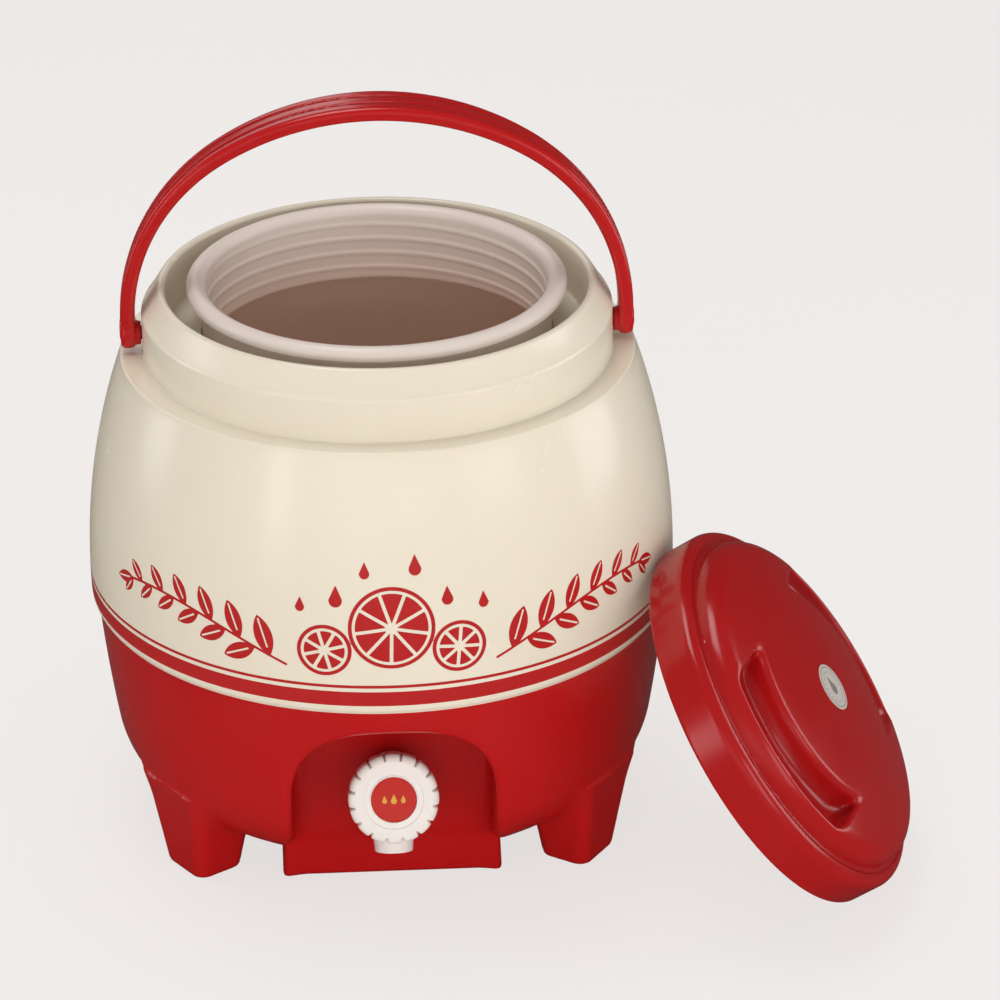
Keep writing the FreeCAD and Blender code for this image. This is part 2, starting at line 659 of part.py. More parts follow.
def half_line(depth, side):
    # arm, bend and crown of the handle's outline at a depth below its outer face
    crown = d.crown_arc - depth
    touch_x = bend_x * crown / spread
    touch_z = crown_z + (bend_z - crown_z) * crown / spread
    reach = d.bail_reach - depth
    if side < 0:
        return [(-reach, bend_z), (-touch_x, touch_z)]
    return [(touch_x, touch_z), (reach, bend_z)]


def bail_band(name, outer_depth, inner_depth, wide, middle, foot_z=0.0):
    # band of the handle's arch between two depths, upright, as wide as given
    outer_depth = as_size(outer_depth)
    inner_depth = as_size(inner_depth)
    bend_out = d.bend_arc - outer_depth
    bend_in = d.bend_arc - inner_depth
    left, top_left = half_line(outer_depth, -1)
    top_right, right = half_line(outer_depth, 1)
    low_left, in_left = half_line(inner_depth, -1)
    in_right, low_right = half_line(inner_depth, 1)
    body = padded(name, [
        (-(d.bail_reach - outer_depth), foot_z),
        left + (bend_out, -1),
        top_left + (d.crown_arc - outer_depth, -1),
        top_right + (bend_out, -1),
        right,
        (d.bail_reach - outer_depth, foot_z),
        (d.bail_reach - inner_depth, foot_z),
        low_right + (bend_in, 1),
        in_right + (d.crown_arc - inner_depth, 1),
        in_left + (bend_in, 1),
        low_left,
        (-(d.bail_reach - inner_depth), foot_z),
    ], wide)
    return place(body, 0, middle + as_size(wide) * 0.5, d.pivot_z, FORWARD)


bail_in = d.bail_reach - d.bail_t
ring = bail_band("bail_ring", 0.0, d.bail_t, d.bail_half * 2.0 + 4.0, as_size(0.0))
side_x = d.bail_reach + 2.0
taper = d.bail_half - d.arm_half
plan_r = Size((side_x.value ** 2 + taper.value ** 2) / (2 * taper.value),
              "((" + side_x.text + ")^2 + (" + taper.text + ")^2) / (2 * (" + taper.text + "))")
plan = padded("bail_plan", [
    (-side_x, d.arm_half),
    (-side_x, -d.arm_half, plan_r, 1),
    (side_x, -d.arm_half),
    (side_x, d.arm_half, plan_r, 1),
], 170.0)
place(plan, 0, 0, d.pivot_z)
band = doc.addObject("Part::MultiCommon", "bail_band")
band.Shapes = [ring, plan]
ends = []
for side in (-1, 1):
    tag = "right" if side > 0 else "left"
    eye_x = bail_in if side > 0 else -d.bail_reach
    boss_x = d.boss_x if side > 0 else -(bail_in + d.root_lap)
    pin_x = d.pin_x if side > 0 else -(bail_in + d.root_lap)
    ends.append(rod("eye_" + tag, d.eye_r, d.bail_t, eye_x, 0, d.pivot_z, SIDEWAYS))
    ends.append(rod("boss_" + tag, d.boss_r, bail_in + d.root_lap - d.boss_x, boss_x, 0, d.pivot_z, SIDEWAYS))
    ends.append(rod("pin_" + tag, d.pin_r, bail_in + d.root_lap - d.pin_x, pin_x, 0, d.pivot_z, SIDEWAYS))
bail_whole = fuse("bail_whole", [band] + ends)
grooves = []
for side in (-1, 1):
    tag = "rear" if side > 0 else "front"
    grooves.append(bail_band("groove_" + tag, -3.0, d.bail_groove, d.groove_half * 2.0,
                             d.groove_y * side, bend_z - 2.0))
handle_bail = node("handle_bail", cut("handle_bail", bail_whole, fuse("groove_cut", grooves)))

# Tap: shank, flange, inclined head and spout, one moulding.
HEAD = FreeCAD.Rotation(FreeCAD.Vector(1, 0, 0), 90 - d.head_tilt.value)


def on_head(item, behind=0.0):
    # puts a piece that was drawn along Z on the axis of the tap's inclined head
    behind = as_size(behind)
    y = behind * cosine(d.head_tilt) - d.head_y
    return place(item, 0, y, d.tap_z - behind * sine(d.head_tilt), HEAD)


tap_head = on_head(turned("tap_head", [
    (0, 0, d.head_r, 1),
    (d.head_r, d.head_r),
    (d.head_r, d.head_r + d.head_front),
    (0, d.head_r + d.head_front),
]), d.head_r)
spout = doc.addObject("Part::Cone", "spout_cone")
bind(spout, "Radius1", d.spout_low)
bind(spout, "Radius2", d.spout_high)
bind(spout, "Height", d.spout_top - d.spout_z)
place(spout, 0, -d.spout_y, d.spout_z)
flange_at = d.face_y + d.gasket_t
tap_whole = fuse("tap_whole", [
    rod("shank", d.shank_r, d.head_y - d.shank_end, 0, -d.shank_end, d.tap_z, FORWARD),
    rod("flange", d.flange_r, d.flange_t, 0, -flange_at, d.tap_z, FORWARD),
    tap_head,
    spout,
])
chamber = on_head(rod("chamber", d.chamber_r, d.head_front + 1.0, 0, 0, 0))
port = on_head(rod("port", d.port_r, d.port_long + 0.5, 0, 0, 0), d.port_long)
shank_way = rod("shank_way", d.shank_bore, d.head_y - d.shank_end - 3.0, 0, -(d.shank_end - 1.0), d.tap_z,
                FORWARD)
spout_way = rod("spout_way", d.spout_bore, d.spout_reach - d.spout_z + 1.0, 0, -d.spout_y,
                d.spout_z - 1.0)
tap_open = cut("tap_open", tap_whole, chamber)
tap_drilled = cut("tap_drilled", cut("tap_ported", tap_open, port), shank_way)
tap_body = node("tap_body", cut("tap_body", tap_drilled, spout_way))

# Gaskets, spacer sleeve and back nut on the shank.


def collar(label, inner, outer, near, thick):
    shape = turned(label, [(inner, 0), (outer, 0), (outer, thick), (inner, thick)])
    return node(label, place(shape, 0, -near, d.tap_z, FORWARD))


vessel_face = d.face_y - d.wall - d.foam_space - d.skin
tap_gasket_outer = collar("tap_gasket_outer", d.shank_r + 0.3, d.flange_r - 1.0, d.face_y, d.gasket_t)
tap_spacer = collar("tap_spacer", d.tap_hole, d.spacer_r, vessel_face + d.skin + 0.1, d.foam_space - 0.2)
tap_gasket_inner = collar("tap_gasket_inner", d.shank_r + 0.3, d.nut_flat + 0.6, vessel_face - d.gasket_t,
                          d.gasket_t)
corner = d.nut_flat * (1 / math.cos(math.radians(30)))
half_corner = corner * 0.5
nut = padded("nut_prism", [
    (corner, 0),
    (half_corner, d.nut_flat),
    (-half_corner, d.nut_flat),
    (-corner, 0),
    (-half_corner, -d.nut_flat),
    (half_corner, -d.nut_flat),
], d.nut_t)
nut_near = vessel_face - d.gasket_t - d.nut_t
place(nut, 0, -nut_near, d.tap_z, FORWARD)
nut_way = rod("nut_way", d.shank_r + d.run_gap, d.nut_t + 2.0, 0, -(nut_near - 1.0), d.tap_z, FORWARD)
tap_back_nut = node("tap_back_nut", cut("tap_back_nut", nut, nut_way))

# Gland nut with an inner groove for the stem's ring seal.
stem_way = d.stem_r + d.run_gap
tap_bonnet = node("tap_bonnet", on_head(turned("tap_bonnet", [
    (stem_way, d.gland_in),
    (d.gland_r, d.gland_in),
    (d.gland_r, d.head_front),
    (d.gland_head, d.head_front),
    (d.gland_head, d.gland_top - 0.8),
    (d.gland_head - 0.8, d.gland_top),
    (stem_way, d.gland_top),
    (stem_way, d.ring_high),
    (d.ring_groove, d.ring_high),
    (d.ring_groove, d.ring_low),
    (stem_way, d.ring_low),
])))
ring_half = (d.ring_groove - stem_way) * 0.5 - 0.05
ring_mid = stem_way + ring_half + 0.05
stem_oring = node("stem_oring", on_head(turned("stem_oring", [
    (ring_mid, (d.ring_low + d.ring_high) * 0.5 - ring_half, ring_half, 1),
    (ring_mid, (d.ring_low + d.ring_high) * 0.5 + ring_half, ring_half, 1),
])))

# Valve stem with a nose, a disc that carries the seal and a bore for the knob's screw.
nose_low = d.run_gap + 0.3
tap_stem = node("tap_stem", on_head(turned("tap_stem", [
    (0, nose_low),
    (d.nose_r, nose_low),
    (d.nose_r, d.seal_t + d.run_gap),
    (d.stem_disc, d.seal_t + d.run_gap),
    (d.stem_disc, d.seal_t + 2.0),
    (d.stem_r, d.seal_t + 2.0),
    (d.stem_r, d.stem_top),
    (d.screw_r + 0.05, d.stem_top),
    (d.screw_r + 0.05, d.screw_low - 0.5),
    (0, d.screw_low - 0.5),
])))
tap_seal = node("tap_seal", on_head(turned("tap_seal", [
    (d.nose_r + 0.05, 0.1),
    (d.seal_r - 0.6, 0.1),
    (d.seal_r, 0.7),
    (d.seal_r, d.seal_t),
    (d.nose_r + 0.05, d.seal_t),
])))

# Knob: lobed ring with a hub, a web and a recess for the coloured cap.
knob = turned("tap_knob", [
    (d.stem_r + 0.05, d.knob_back),
    (d.hub_r, d.knob_back),
    (d.hub_r, d.knob_web),
    (d.skirt_r, d.knob_web),
    (d.skirt_r, d.knob_back),
    (d.knob_r - 1.4, d.knob_back),
    (d.knob_r, d.knob_back + 1.6),
    (d.knob_r, d.knob_front - 3.6, 4.4, 1),
    (d.knob_flat, d.knob_front),
    (d.cap_r + 0.1, d.knob_front),
    (d.cap_r + 0.1, d.cap_back),
    (d.screw_head + 0.4, d.cap_back),
    (d.screw_head + 0.4, d.stem_top + 0.2),
    (d.stem_r + 0.05, d.stem_top + 0.2),
])
notch = new_sketch(knob, "XY_Plane", "knob_notch")
draw(notch, [
    (d.knob_r - d.notch_deep, 0),
    (d.knob_r + 1.0, -(d.notch_half * 1.4)),
    (d.knob_r + 1.0, d.notch_half * 1.4),
])
pocket = knob.newObject("PartDesign::Pocket", "knob_notch_cut")
pocket.Profile = notch
pocket.Type = "Length"
bind(pocket, "Length", 60.0)
pocket.Midplane = True
doc.recompute()
lobes = knob.newObject("PartDesign::PolarPattern", "knob_lobes")
lobes.Originals = [pocket]
spin = [f for f in knob.Origin.OriginFeatures if f.Role == "Z_Axis"][0]
lobes.Axis = (spin, [""])
lobes.Angle = 360.0
lobes.Occurrences = int(d.lobes.value)
lobes.setExpression("Occurrences", d.lobes.text)
knob.Tip = lobes
tap_knob = node("tap_knob", on_head(knob))
knob_screw = node("knob_screw", on_head(turned("knob_screw", [
    (0, d.screw_low),
    (d.screw_r, d.screw_low),
    (d.screw_r, d.stem_top + 0.2),
    (d.screw_head, d.stem_top + 0.2),
    (d.screw_head, d.cap_back - 0.8),
    (d.screw_head - 0.8, d.cap_back - 0.2),
    (0, d.cap_back - 0.2),
])))
knob_cap = node("knob_cap", on_head(turned("knob_cap", [
    (0, d.cap_back),
    (d.cap_r, d.cap_back),
    (d.cap_r, d.knob_front - 0.2, DOME, 1),
    (0, d.knob_front + 0.6),
])))

# Lid, drawn upright with its lower edge at zero and then leaned against the jug.
turn = math.radians(d.lid_turn.value)
lean = math.radians(d.lid_lean.value)
roll = math.radians(d.lid_roll.value)
lid_n = FreeCAD.Vector(math.cos(lean) * math.cos(turn), math.cos(lean) * math.sin(turn), math.sin(lean))
lid_a = FreeCAD.Vector(-math.sin(turn), math.cos(turn), 0)
lid_b = lid_n.cross(lid_a)
lid_i = lid_a * math.cos(roll) + lid_b * math.sin(roll)
lid_j = lid_n.cross(lid_i)
LEAN = FreeCAD.Rotation(lid_i, lid_j, lid_n, "ZXY")


step_r = d.lid_r - d.ring_wide
disc_r = step_r - d.groove_step
crown_r = disc_r - d.crown_edge
plug_r = d.lid_r - d.plug_margin
grip_out = crown_r - d.grip_edge
grip_in = grip_out - d.grip_wide


def on_lid(item):
    return place(item, d.lid_x, -d.lid_y, d.lid_r * cosine(d.lid_lean) + d.lid_lift, LEAN)


def grip(name, grow):
    # two curved finger recesses in the crown, grown by a margin for their walls
    grow = as_size(grow)
    inner = grip_in - grow
    outer = grip_out + grow
    half = d.grip_half + grow
    x_in = root(inner * inner - half * half)
    x_out = root(outer * outer - half * half)
    parts = []
    for i in range(2):
        body = padded(name + str(i + 1), [
            (x_in, half, inner, -1),
            (x_in, -half),
            (x_out, -half, outer, 1),
            (x_out, half),
        ], 40.0)
        place(body, 0, 0, d.grip_z - grow, FreeCAD.Rotation(FreeCAD.Vector(0, 0, 1), 180.0 * i))
        parts.append(body)
    return fuse(name, parts)


cover_out = turned("cover_out", [
    (0, 0),
    (d.lid_r, 0),
    (d.lid_r, d.lid_side, d.lid_shoulder, 1),
    (d.lid_r - d.lid_shoulder, d.lid_side + d.lid_shoulder),
    (step_r, d.lid_side + d.lid_shoulder),
    (disc_r, d.step_z),
    (disc_r, d.disc_z, d.crown_round, 1),
    (crown_r, d.crown_z, DOME, 1),
    (d.flat_r, d.lid_z),
    (0, d.lid_z),
])
skirt_in = d.lid_r - d.skin
cover_in = turned("cover_in", [
    (0, -1.0),
    (skirt_in, -1.0),
    (skirt_in, d.ceiling_z - 2.5),
    (skirt_in - 2.0, d.ceiling_z),
    (step_r - d.wall, d.ceiling_z),
    (disc_r - d.wall, d.step_z - d.wall),
    (disc_r - d.wall, d.disc_z - 1.0),
    (crown_r - 1.5, d.crown_z - d.wall, DOME, 1),
    (0, d.lid_z + 0.3 - d.wall),
])
cover_room = cut("cover_room", cover_in, grip("grip_wall_", d.wall))
cover_whole = cut("cover_whole", cover_out, cover_room)
lid_cover = node("lid_cover", on_lid(cut("lid_cover", cover_whole, grip("grip_", 0.0))))

# Plug of the lid: shallow cup with a flange under the cover's shoulder.
cup_in = plug_r - d.skin
lid_plug = node("lid_plug", on_lid(turned("lid_plug", [
    (0, d.plug_z),
    (plug_r - 1.5, d.plug_z),
    (plug_r, d.plug_z + 1.5),
    (plug_r, d.flange_z),
    (d.lid_r - d.flange_margin, d.flange_z),
    (d.lid_r - d.flange_margin, d.ceiling_z),
    (cup_in, d.ceiling_z),
    (cup_in, d.plug_z + d.skin),
    (0, d.plug_z + d.skin),
])))
lid_foam_out = turned("lid_foam_turned", [
    (0, d.plug_z + d.skin + gap),
    (cup_in - gap, d.plug_z + d.skin + gap),
    (cup_in - gap, d.crown_z - d.wall - gap, DOME, 1),
    (0, d.lid_z - d.wall),
])
lid_foam = node("lid_foam", on_lid(cut("lid_foam", lid_foam_out, grip("grip_foam_", d.wall + gap))))
gasket_in = plug_r + d.gasket_room
gasket_out = d.lid_r - d.flange_margin - d.gasket_edge
lid_gasket = node("lid_gasket", on_lid(turned("lid_gasket", [
    (gasket_in, d.flange_z - d.gasket_h),
    (gasket_out, d.flange_z - d.gasket_h),
    (gasket_out, d.flange_z),
    (gasket_in, d.flange_z),
])))
lid_label = node("lid_label", on_lid(turned("lid_label", [
    (0, d.lid_z),
    (d.label_r, d.lid_z),
    (d.label_r, d.lid_z + d.label_t),
    (0, d.lid_z + d.label_t),
])))

doc.recompute()

troubles = []
for item in doc.Objects:
    if any(flag in ("Invalid", "Error") for flag in item.State):
        troubles.append(item.Name + " " + ",".join(item.State))
for label, item in nodes.items():
    if item.Shape.isNull() or not item.Shape.isValid() or not item.Shape.Solids:
        troubles.append(label + " has no valid solid")
if troubles:
    raise RuntimeError("; ".join(troubles))

os.makedirs("parts", exist_ok=True)
for label, item in nodes.items():
    item.Shape.exportStep("parts/" + label + ".step")
    box = item.Shape.BoundBox
    print(label, len(item.Shape.Solids), round(item.Shape.Volume / 1000.0, 2), "cm3",
          [round(v, 1) for v in (box.XMin, box.YMin, box.ZMin, box.XMax, box.YMax, box.ZMax)])
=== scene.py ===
import math

import bmesh
import bpy
import numpy as np
from mathutils import Matrix, Vector


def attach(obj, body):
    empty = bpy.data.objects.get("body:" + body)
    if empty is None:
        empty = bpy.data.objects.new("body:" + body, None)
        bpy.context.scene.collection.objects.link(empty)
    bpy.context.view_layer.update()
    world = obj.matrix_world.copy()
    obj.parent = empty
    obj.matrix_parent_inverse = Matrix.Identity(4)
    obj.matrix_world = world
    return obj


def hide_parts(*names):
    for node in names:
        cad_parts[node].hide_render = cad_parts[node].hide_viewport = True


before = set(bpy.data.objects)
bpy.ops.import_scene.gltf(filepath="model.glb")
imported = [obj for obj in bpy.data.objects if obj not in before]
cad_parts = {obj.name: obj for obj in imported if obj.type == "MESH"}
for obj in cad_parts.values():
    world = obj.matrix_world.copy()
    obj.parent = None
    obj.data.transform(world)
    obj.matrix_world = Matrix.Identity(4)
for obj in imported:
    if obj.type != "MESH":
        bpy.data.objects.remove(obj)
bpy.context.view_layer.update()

# Camera
# It stands in front of the jug and above it, and looks down at about 26 degrees
# through a long lens.
camera_yaw = Matrix.Rotation(math.radians(-1.5), 3, "Z")
camera_place = camera_yaw @ Vector((-0.0009, -2.3931, 1.3711))
look = camera_yaw @ Vector((0.02677, 0.89736, -0.44049))
across = camera_yaw @ Vector((0.99964, -0.02403, 0.01180))
upward = camera_yaw @ Vector((0.0, 0.44065, 0.89768))
camera_roll = math.radians(-1.16)
image_right = across * math.cos(camera_roll) + upward * math.sin(camera_roll)
image_up = upward * math.cos(camera_roll) - across * math.sin(camera_roll)


def shown(name, data):
    """Object of some data, linked to the scene."""
    made = bpy.data.objects.new(name, data)
    bpy.context.scene.collection.objects.link(made)
    return made


lens = bpy.data.cameras.new("camera")
lens.sensor_width = 36.0
lens.lens = 162.0
lens.clip_end = 30.0
camera = shown("camera", lens)
camera.matrix_world = Matrix((
    (image_right.x, image_up.x, -look.x, camera_place.x),
    (image_right.y, image_up.y, -look.y, camera_place.y),
    (image_right.z, image_up.z, -look.z, camera_place.z),
    (0.0, 0.0, 0.0, 1.0),
))
bpy.context.scene.camera = camera
bpy.context.scene.view_settings.view_transform = "Standard"


# Table and light
# A pale matt table that sweeps up into a backdrop, lit by large soft boxes and an
# even sky.
def shade(text):
    """Linear colour of an sRGB hex value."""
    parts = [int(text[i:i + 2], 16) / 255 for i in (1, 3, 5)]
    return tuple(c / 12.92 if c <= 0.04045 else ((c + 0.055) / 1.055) ** 2.4 for c in parts) + (1.0,)


def add(tree, kind, links=(), inputs=(), **settings):
    """Adds a node with its settings, the values of its sockets and its links (source, socket). A source
    is an output, or a node whose first output is meant."""
    made = tree.nodes.new(kind)
    for name, value in settings.items():
        setattr(made, name, value)
    for key, value in dict(inputs).items():
        made.inputs[key].default_value = value
    for source, target in links:
        tree.links.new(getattr(source, "outputs", [source])[0], made.inputs[target])
    return made


def new_material(name):
    made = bpy.data.materials.new(name)
    made.use_nodes = True
    made.node_tree.nodes.clear()
    return made, made.node_tree


# Matt paint keeps a soft shadow and no mirror image, and shows dark to the glossy plastics.
table_paint, tree = new_material("table_matt_paint")
grain = add(tree, "ShaderNodeTexNoise", inputs={"Scale": 30.0, "Detail": 3.0})
tint = add(tree, "ShaderNodeMix", [(grain, 0)], {"A": shade("#f0edeb"), "B": shade("#eeebe8")},
           data_type="RGBA")
matt = add(tree, "ShaderNodeBsdfDiffuse", [(tint.outputs["Result"], "Color")])
glow = add(tree, "ShaderNodeEmission", inputs={"Color": shade("#f3f0ee"), "Strength": 1.0})
rays = add(tree, "ShaderNodeLightPath")
bright = add(tree, "ShaderNodeMath", [(rays.outputs["Is Camera Ray"], 0)], {1: 0.8}, operation="MULTIPLY")
mixed = add(tree, "ShaderNodeMixShader", [(bright, 0), (matt, 1),
                                          (glow, 2)])
dim = add(tree, "ShaderNodeBsdfDiffuse", inputs={"Color": shade("#5a5856")})
seen = add(tree, "ShaderNodeMixShader", [(rays.outputs["Is Glossy Ray"], 0), (mixed, 1),
                                         (dim, 2)])
add(tree, "ShaderNodeOutputMaterial", [(seen, "Surface")])

FRONT_EDGE, HALF_WIDTH, WALL_TOP = -3.5, 4.0, 4.5
BEND_START, BEND_RADIUS, BEND_STEPS = 1.3, 1.2, 16
sweep_line = [(FRONT_EDGE, 0.0), (0.0, 0.0), (BEND_START, 0.0)]
for i in range(1, BEND_STEPS + 1):
    bend = math.radians(90.0 * i / BEND_STEPS)
    sweep_line.append((BEND_START + BEND_RADIUS * math.sin(bend), BEND_RADIUS * (1.0 - math.cos(bend))))
sweep_line.append((BEND_START + BEND_RADIUS, WALL_TOP))
sweep = bpy.data.meshes.new("backdrop")
sweep.from_pydata([(x, y, z) for y, z in sweep_line for x in (-HALF_WIDTH, HALF_WIDTH)], [],
                  [(2 * i, 2 * i + 1, 2 * i + 3, 2 * i + 2) for i in range(len(sweep_line) - 1)])
sweep.shade_smooth()
sweep.materials.append(table_paint)
shown("backdrop", sweep)

sky = bpy.data.worlds.new("even_sky")
bpy.context.scene.world = sky
sky.use_nodes = True
tree = sky.node_tree
tree.nodes.clear()
rays = add(tree, "ShaderNodeLightPath")
level = add(tree, "ShaderNodeMapRange", [(rays.outputs["Is Glossy Ray"], "Value")],
            {"To Min": 0.42, "To Max": 0.16})
air = add(tree, "ShaderNodeBackground", [(level, "Strength")], {"Color": shade("#f4f1f0")})
add(tree, "ShaderNodeOutputWorld", [(air, "Surface")])

# A lamp with glow lights the surfaces, and one with glints shows in their gloss.
LAMPS_AIM = Vector((0.03, -0.03, 0.2))
for name, place, size, watts, glow, glints in (
    ("soft_wall_front", (0.0, -2.6, 0.72), (2.6, 1.1), 37.0, True, False),
    ("soft_box_top", (-0.3, 0.1, 2.2), (1.2, 0.8), 12.5, True, True),
    ("strip_left", (-1.6, 0.3, 0.6), (0.5, 1.6), 5.0, True, True),
    ("strip_right", (1.6, 0.1, 0.45), (0.7, 1.2), 6.3, True, True),
    ("soft_box_right", (1.5, -1.6, 0.75), (0.9, 0.9), 4.5, True, True),
    ("soft_box_back", (-0.5, 1.1, 0.95), (1.0, 0.4), 1.6, True, True),
    ("glint_strip_left", (-1.3, -1.5, 0.5), (0.35, 0.8), 2.4, False, True),
):
    lamp = bpy.data.lights.new(name, "AREA")
    lamp.shape = "RECTANGLE"
    lamp.size, lamp.size_y = size
    lamp.energy = watts
    holder = shown(name, lamp)
    holder.location = place
    holder.rotation_euler = (LAMPS_AIM - Vector(place)).to_track_quat("-Z", "Y").to_euler()
    holder.visible_diffuse = glow
    holder.visible_glossy = glints


# Upper shell
# Ivory barrel with ledge, neck band, rim and the well round the mouth, injection
# moulded in glossy polypropylene, with a soft roll at its lower edge over the seam.
def moulded(name, colour, deep, rough, peel=0.10, specks=0.0, soft=0.0, below=None):
    """Moulded plastic: slow drift of colour, fine orange peel, cloudy gloss, a few dust specks.
    below = (colour, low, high) turns it to another colour from one height down to a lower one, to paint in
    bounced light."""
    made, tree = new_material(name)
    place = add(tree, "ShaderNodeTexCoord").outputs["Object"]
    drift = add(tree, "ShaderNodeTexNoise", [(place, "Vector")], {"Scale": 8.0, "Detail": 2.0})
    tint = add(tree, "ShaderNodeMix", [(drift, 0)], {"A": shade(deep), "B": shade(colour)}, data_type="RGBA")
    paint = tint.outputs["Result"]
    # painted light: below a given height the colour turns to another one, standing in for light bounced
    # inside
    if below:
        height = add(tree, "ShaderNodeSeparateXYZ", [(place, 0)])
        rise = add(tree, "ShaderNodeMapRange", [(height.outputs["Z"], "Value")],
                   {"From Min": below[1], "From Max": below[2]}, interpolation_type="SMOOTHSTEP")
        painted_bounce_light = add(tree, "ShaderNodeMix", [(rise, 0), (paint, "B")], {"A": shade(below[0])},
                   data_type="RGBA")
        paint = painted_bounce_light.outputs["Result"]
    if specks:
        # a cell is about 45 mm wide, and one cell in six holds a speck about 1 mm across
        cells = add(tree, "ShaderNodeTexVoronoi", [(place, "Vector")], {"Scale": 22.0})
        chosen = add(tree, "ShaderNodeSeparateColor", [(cells.outputs["Color"], 0)])
        distance = cells.outputs["Distance"]
        near = add(tree, "ShaderNodeMath", [(distance, 0)], {1: specks}, operation="LESS_THAN")
        some = add(tree, "ShaderNodeMath", [(chosen, 0)], {1: 0.83}, operation="GREATER_THAN")
        both = add(tree, "ShaderNodeMath", [(near, 0), (some, 1)], operation="MULTIPLY")
        dotted = add(tree, "ShaderNodeMix", [(both, 0), (paint, "A")], {"B": shade("#8d8474")},
                     data_type="RGBA")
        paint = dotted.outputs["Result"]
    fine = add(tree, "ShaderNodeTexNoise", [(place, "Vector")], {"Scale": 450.0, "Detail": 2.0})
    wide = add(tree, "ShaderNodeTexNoise", [(place, "Vector")], {"Scale": 22.0, "Detail": 1.0})
    sink = add(tree, "ShaderNodeBump", [(wide, "Height")], {"Strength": 0.05, "Distance": 0.002})
    skin = add(tree, "ShaderNodeBump", [(fine, "Height"), (sink, "Normal")],
               {"Strength": peel, "Distance": 0.0002})
    cloud = add(tree, "ShaderNodeTexNoise", [(place, "Vector")], {"Scale": 30.0, "Detail": 4.0})
    gloss = add(tree, "ShaderNodeMapRange", [(cloud, "Value")],
                {"From Min": 0.3, "From Max": 0.7, "To Min": rough * 0.85, "To Max": rough * 1.25})
    body = add(tree, "ShaderNodeBsdfPrincipled", [
        (paint, "Base Color"), (gloss, "Roughness"), (skin, "Normal"),
    ], {"IOR": 1.49, "Subsurface Weight": soft, "Subsurface Scale": 0.004})
    add(tree, "ShaderNodeOutputMaterial", [(body, "Surface")])
    return made


def curve_points(outline, step=4.0):
    """Points of an outline whose entries are (r, z) or (r, z, radius, turn) for an arc to the next point."""
    points = []
    for i, entry in enumerate(outline):
        ax, ay = entry[:2]
        bx, by = outline[(i + 1) % len(outline)][:2]
        points.append((ax, ay))
        if len(entry) == 2:
            continue
        radius, turn = entry[2:]
        half = math.hypot(bx - ax, by - ay) / 2
        depth = math.sqrt(max(radius * radius - half * half, 0.0)) * turn
        cx = (ax + bx) / 2 - (by - ay) / (2 * half) * depth
        cy = (ay + by) / 2 + (bx - ax) / (2 * half) * depth
        first = math.atan2(ay - cy, ax - cx)
        sweep = (math.atan2(by - cy, bx - cx) - first) % (2 * math.pi)
        if turn < 0:
            sweep -= 2 * math.pi
        longest = 6.0
        count = max(2, round(abs(math.degrees(sweep)) / step), round(abs(sweep) * radius / longest))
        for k in range(1, count):
            points.append((cx + radius * math.cos(first + sweep * k / count),
                           cy + radius * math.sin(first + sweep * k / count)))
    return points


def form_tree(name, base, floats=(), whole=()):
    """Geometry node tree with named inputs, and the node that gives them."""
    tree = bpy.data.node_groups.new(name, "GeometryNodeTree")
    kinds = [(base, "Geometry")] + [(each, "Float") for each in floats] + [(each, "Int") for each in whole]
    for each, kind in kinds + [("Material", "Material")]:
        tree.interface.new_socket(each, in_out="INPUT", socket_type="NodeSocket" + kind)
    tree.interface.new_socket("Form", in_out="OUTPUT", socket_type="NodeSocketGeometry")
    return tree, add(tree, "NodeGroupInput")


def close_form(tree, given, form, weld=0.0):
    """Ends a tree: real geometry, its points welded within a distance, in the given material."""
    form = add(tree, "GeometryNodeRealizeInstances", [(form, "Geometry")])
    if weld:
        form = add(tree, "GeometryNodeMergeByDistance", [(form, "Geometry")], {"Distance": weld})
    material = given.outputs["Material"]
    coated = add(tree, "GeometryNodeSetMaterial", [(form, "Geometry"), (material, "Material")])
    add(tree, "NodeGroupOutput", [(coated, "Form")])
    return tree


def turning_tree():
    """Turns a closed profile, drawn in the XZ plane, once round the Z axis."""
    tree, given = form_tree("turned_form", "Profile", whole=("Segments",))
    profile, segments = given.outputs["Profile"], given.outputs["Segments"]
    count = add(tree, "GeometryNodeAttributeDomainSize", [(profile, "Geometry")]).outputs["Point Count"]
    rows = add(tree, "ShaderNodeMath", [(segments, 0)], {1: 1.0}, operation="ADD")
    grid = add(tree, "GeometryNodeMeshGrid", [(rows, "Vertices X"), (count, "Vertices Y")])
    index = add(tree, "GeometryNodeInputIndex")
    step = add(tree, "ShaderNodeMath", [(index, 0), (count, 1)], operation="MODULO")
    turns = add(tree, "ShaderNodeMath", [(index, 0), (count, 1)], operation="DIVIDE")
    row = add(tree, "ShaderNodeMath", [(turns, 0)], operation="FLOOR")
    share = add(tree, "ShaderNodeMath", [(row, 0), (segments, 1)], operation="DIVIDE")
    angle = add(tree, "ShaderNodeMath", [(share, 0)], {1: 2 * math.pi}, operation="MULTIPLY")
    spot = add(tree, "GeometryNodeInputPosition")
    point = add(tree, "GeometryNodeSampleIndex", [(profile, "Geometry"), (spot, "Value"), (step, "Index")],
                data_type="FLOAT_VECTOR")
    swung = add(tree, "ShaderNodeVectorRotate", [(point, "Vector"), (angle, "Angle")],
                rotation_type="Z_AXIS")
    laid = add(tree, "GeometryNodeSetPosition", [(grid, "Geometry"), (swung, "Position")])
    return close_form(tree, given, laid, weld=1e-6)


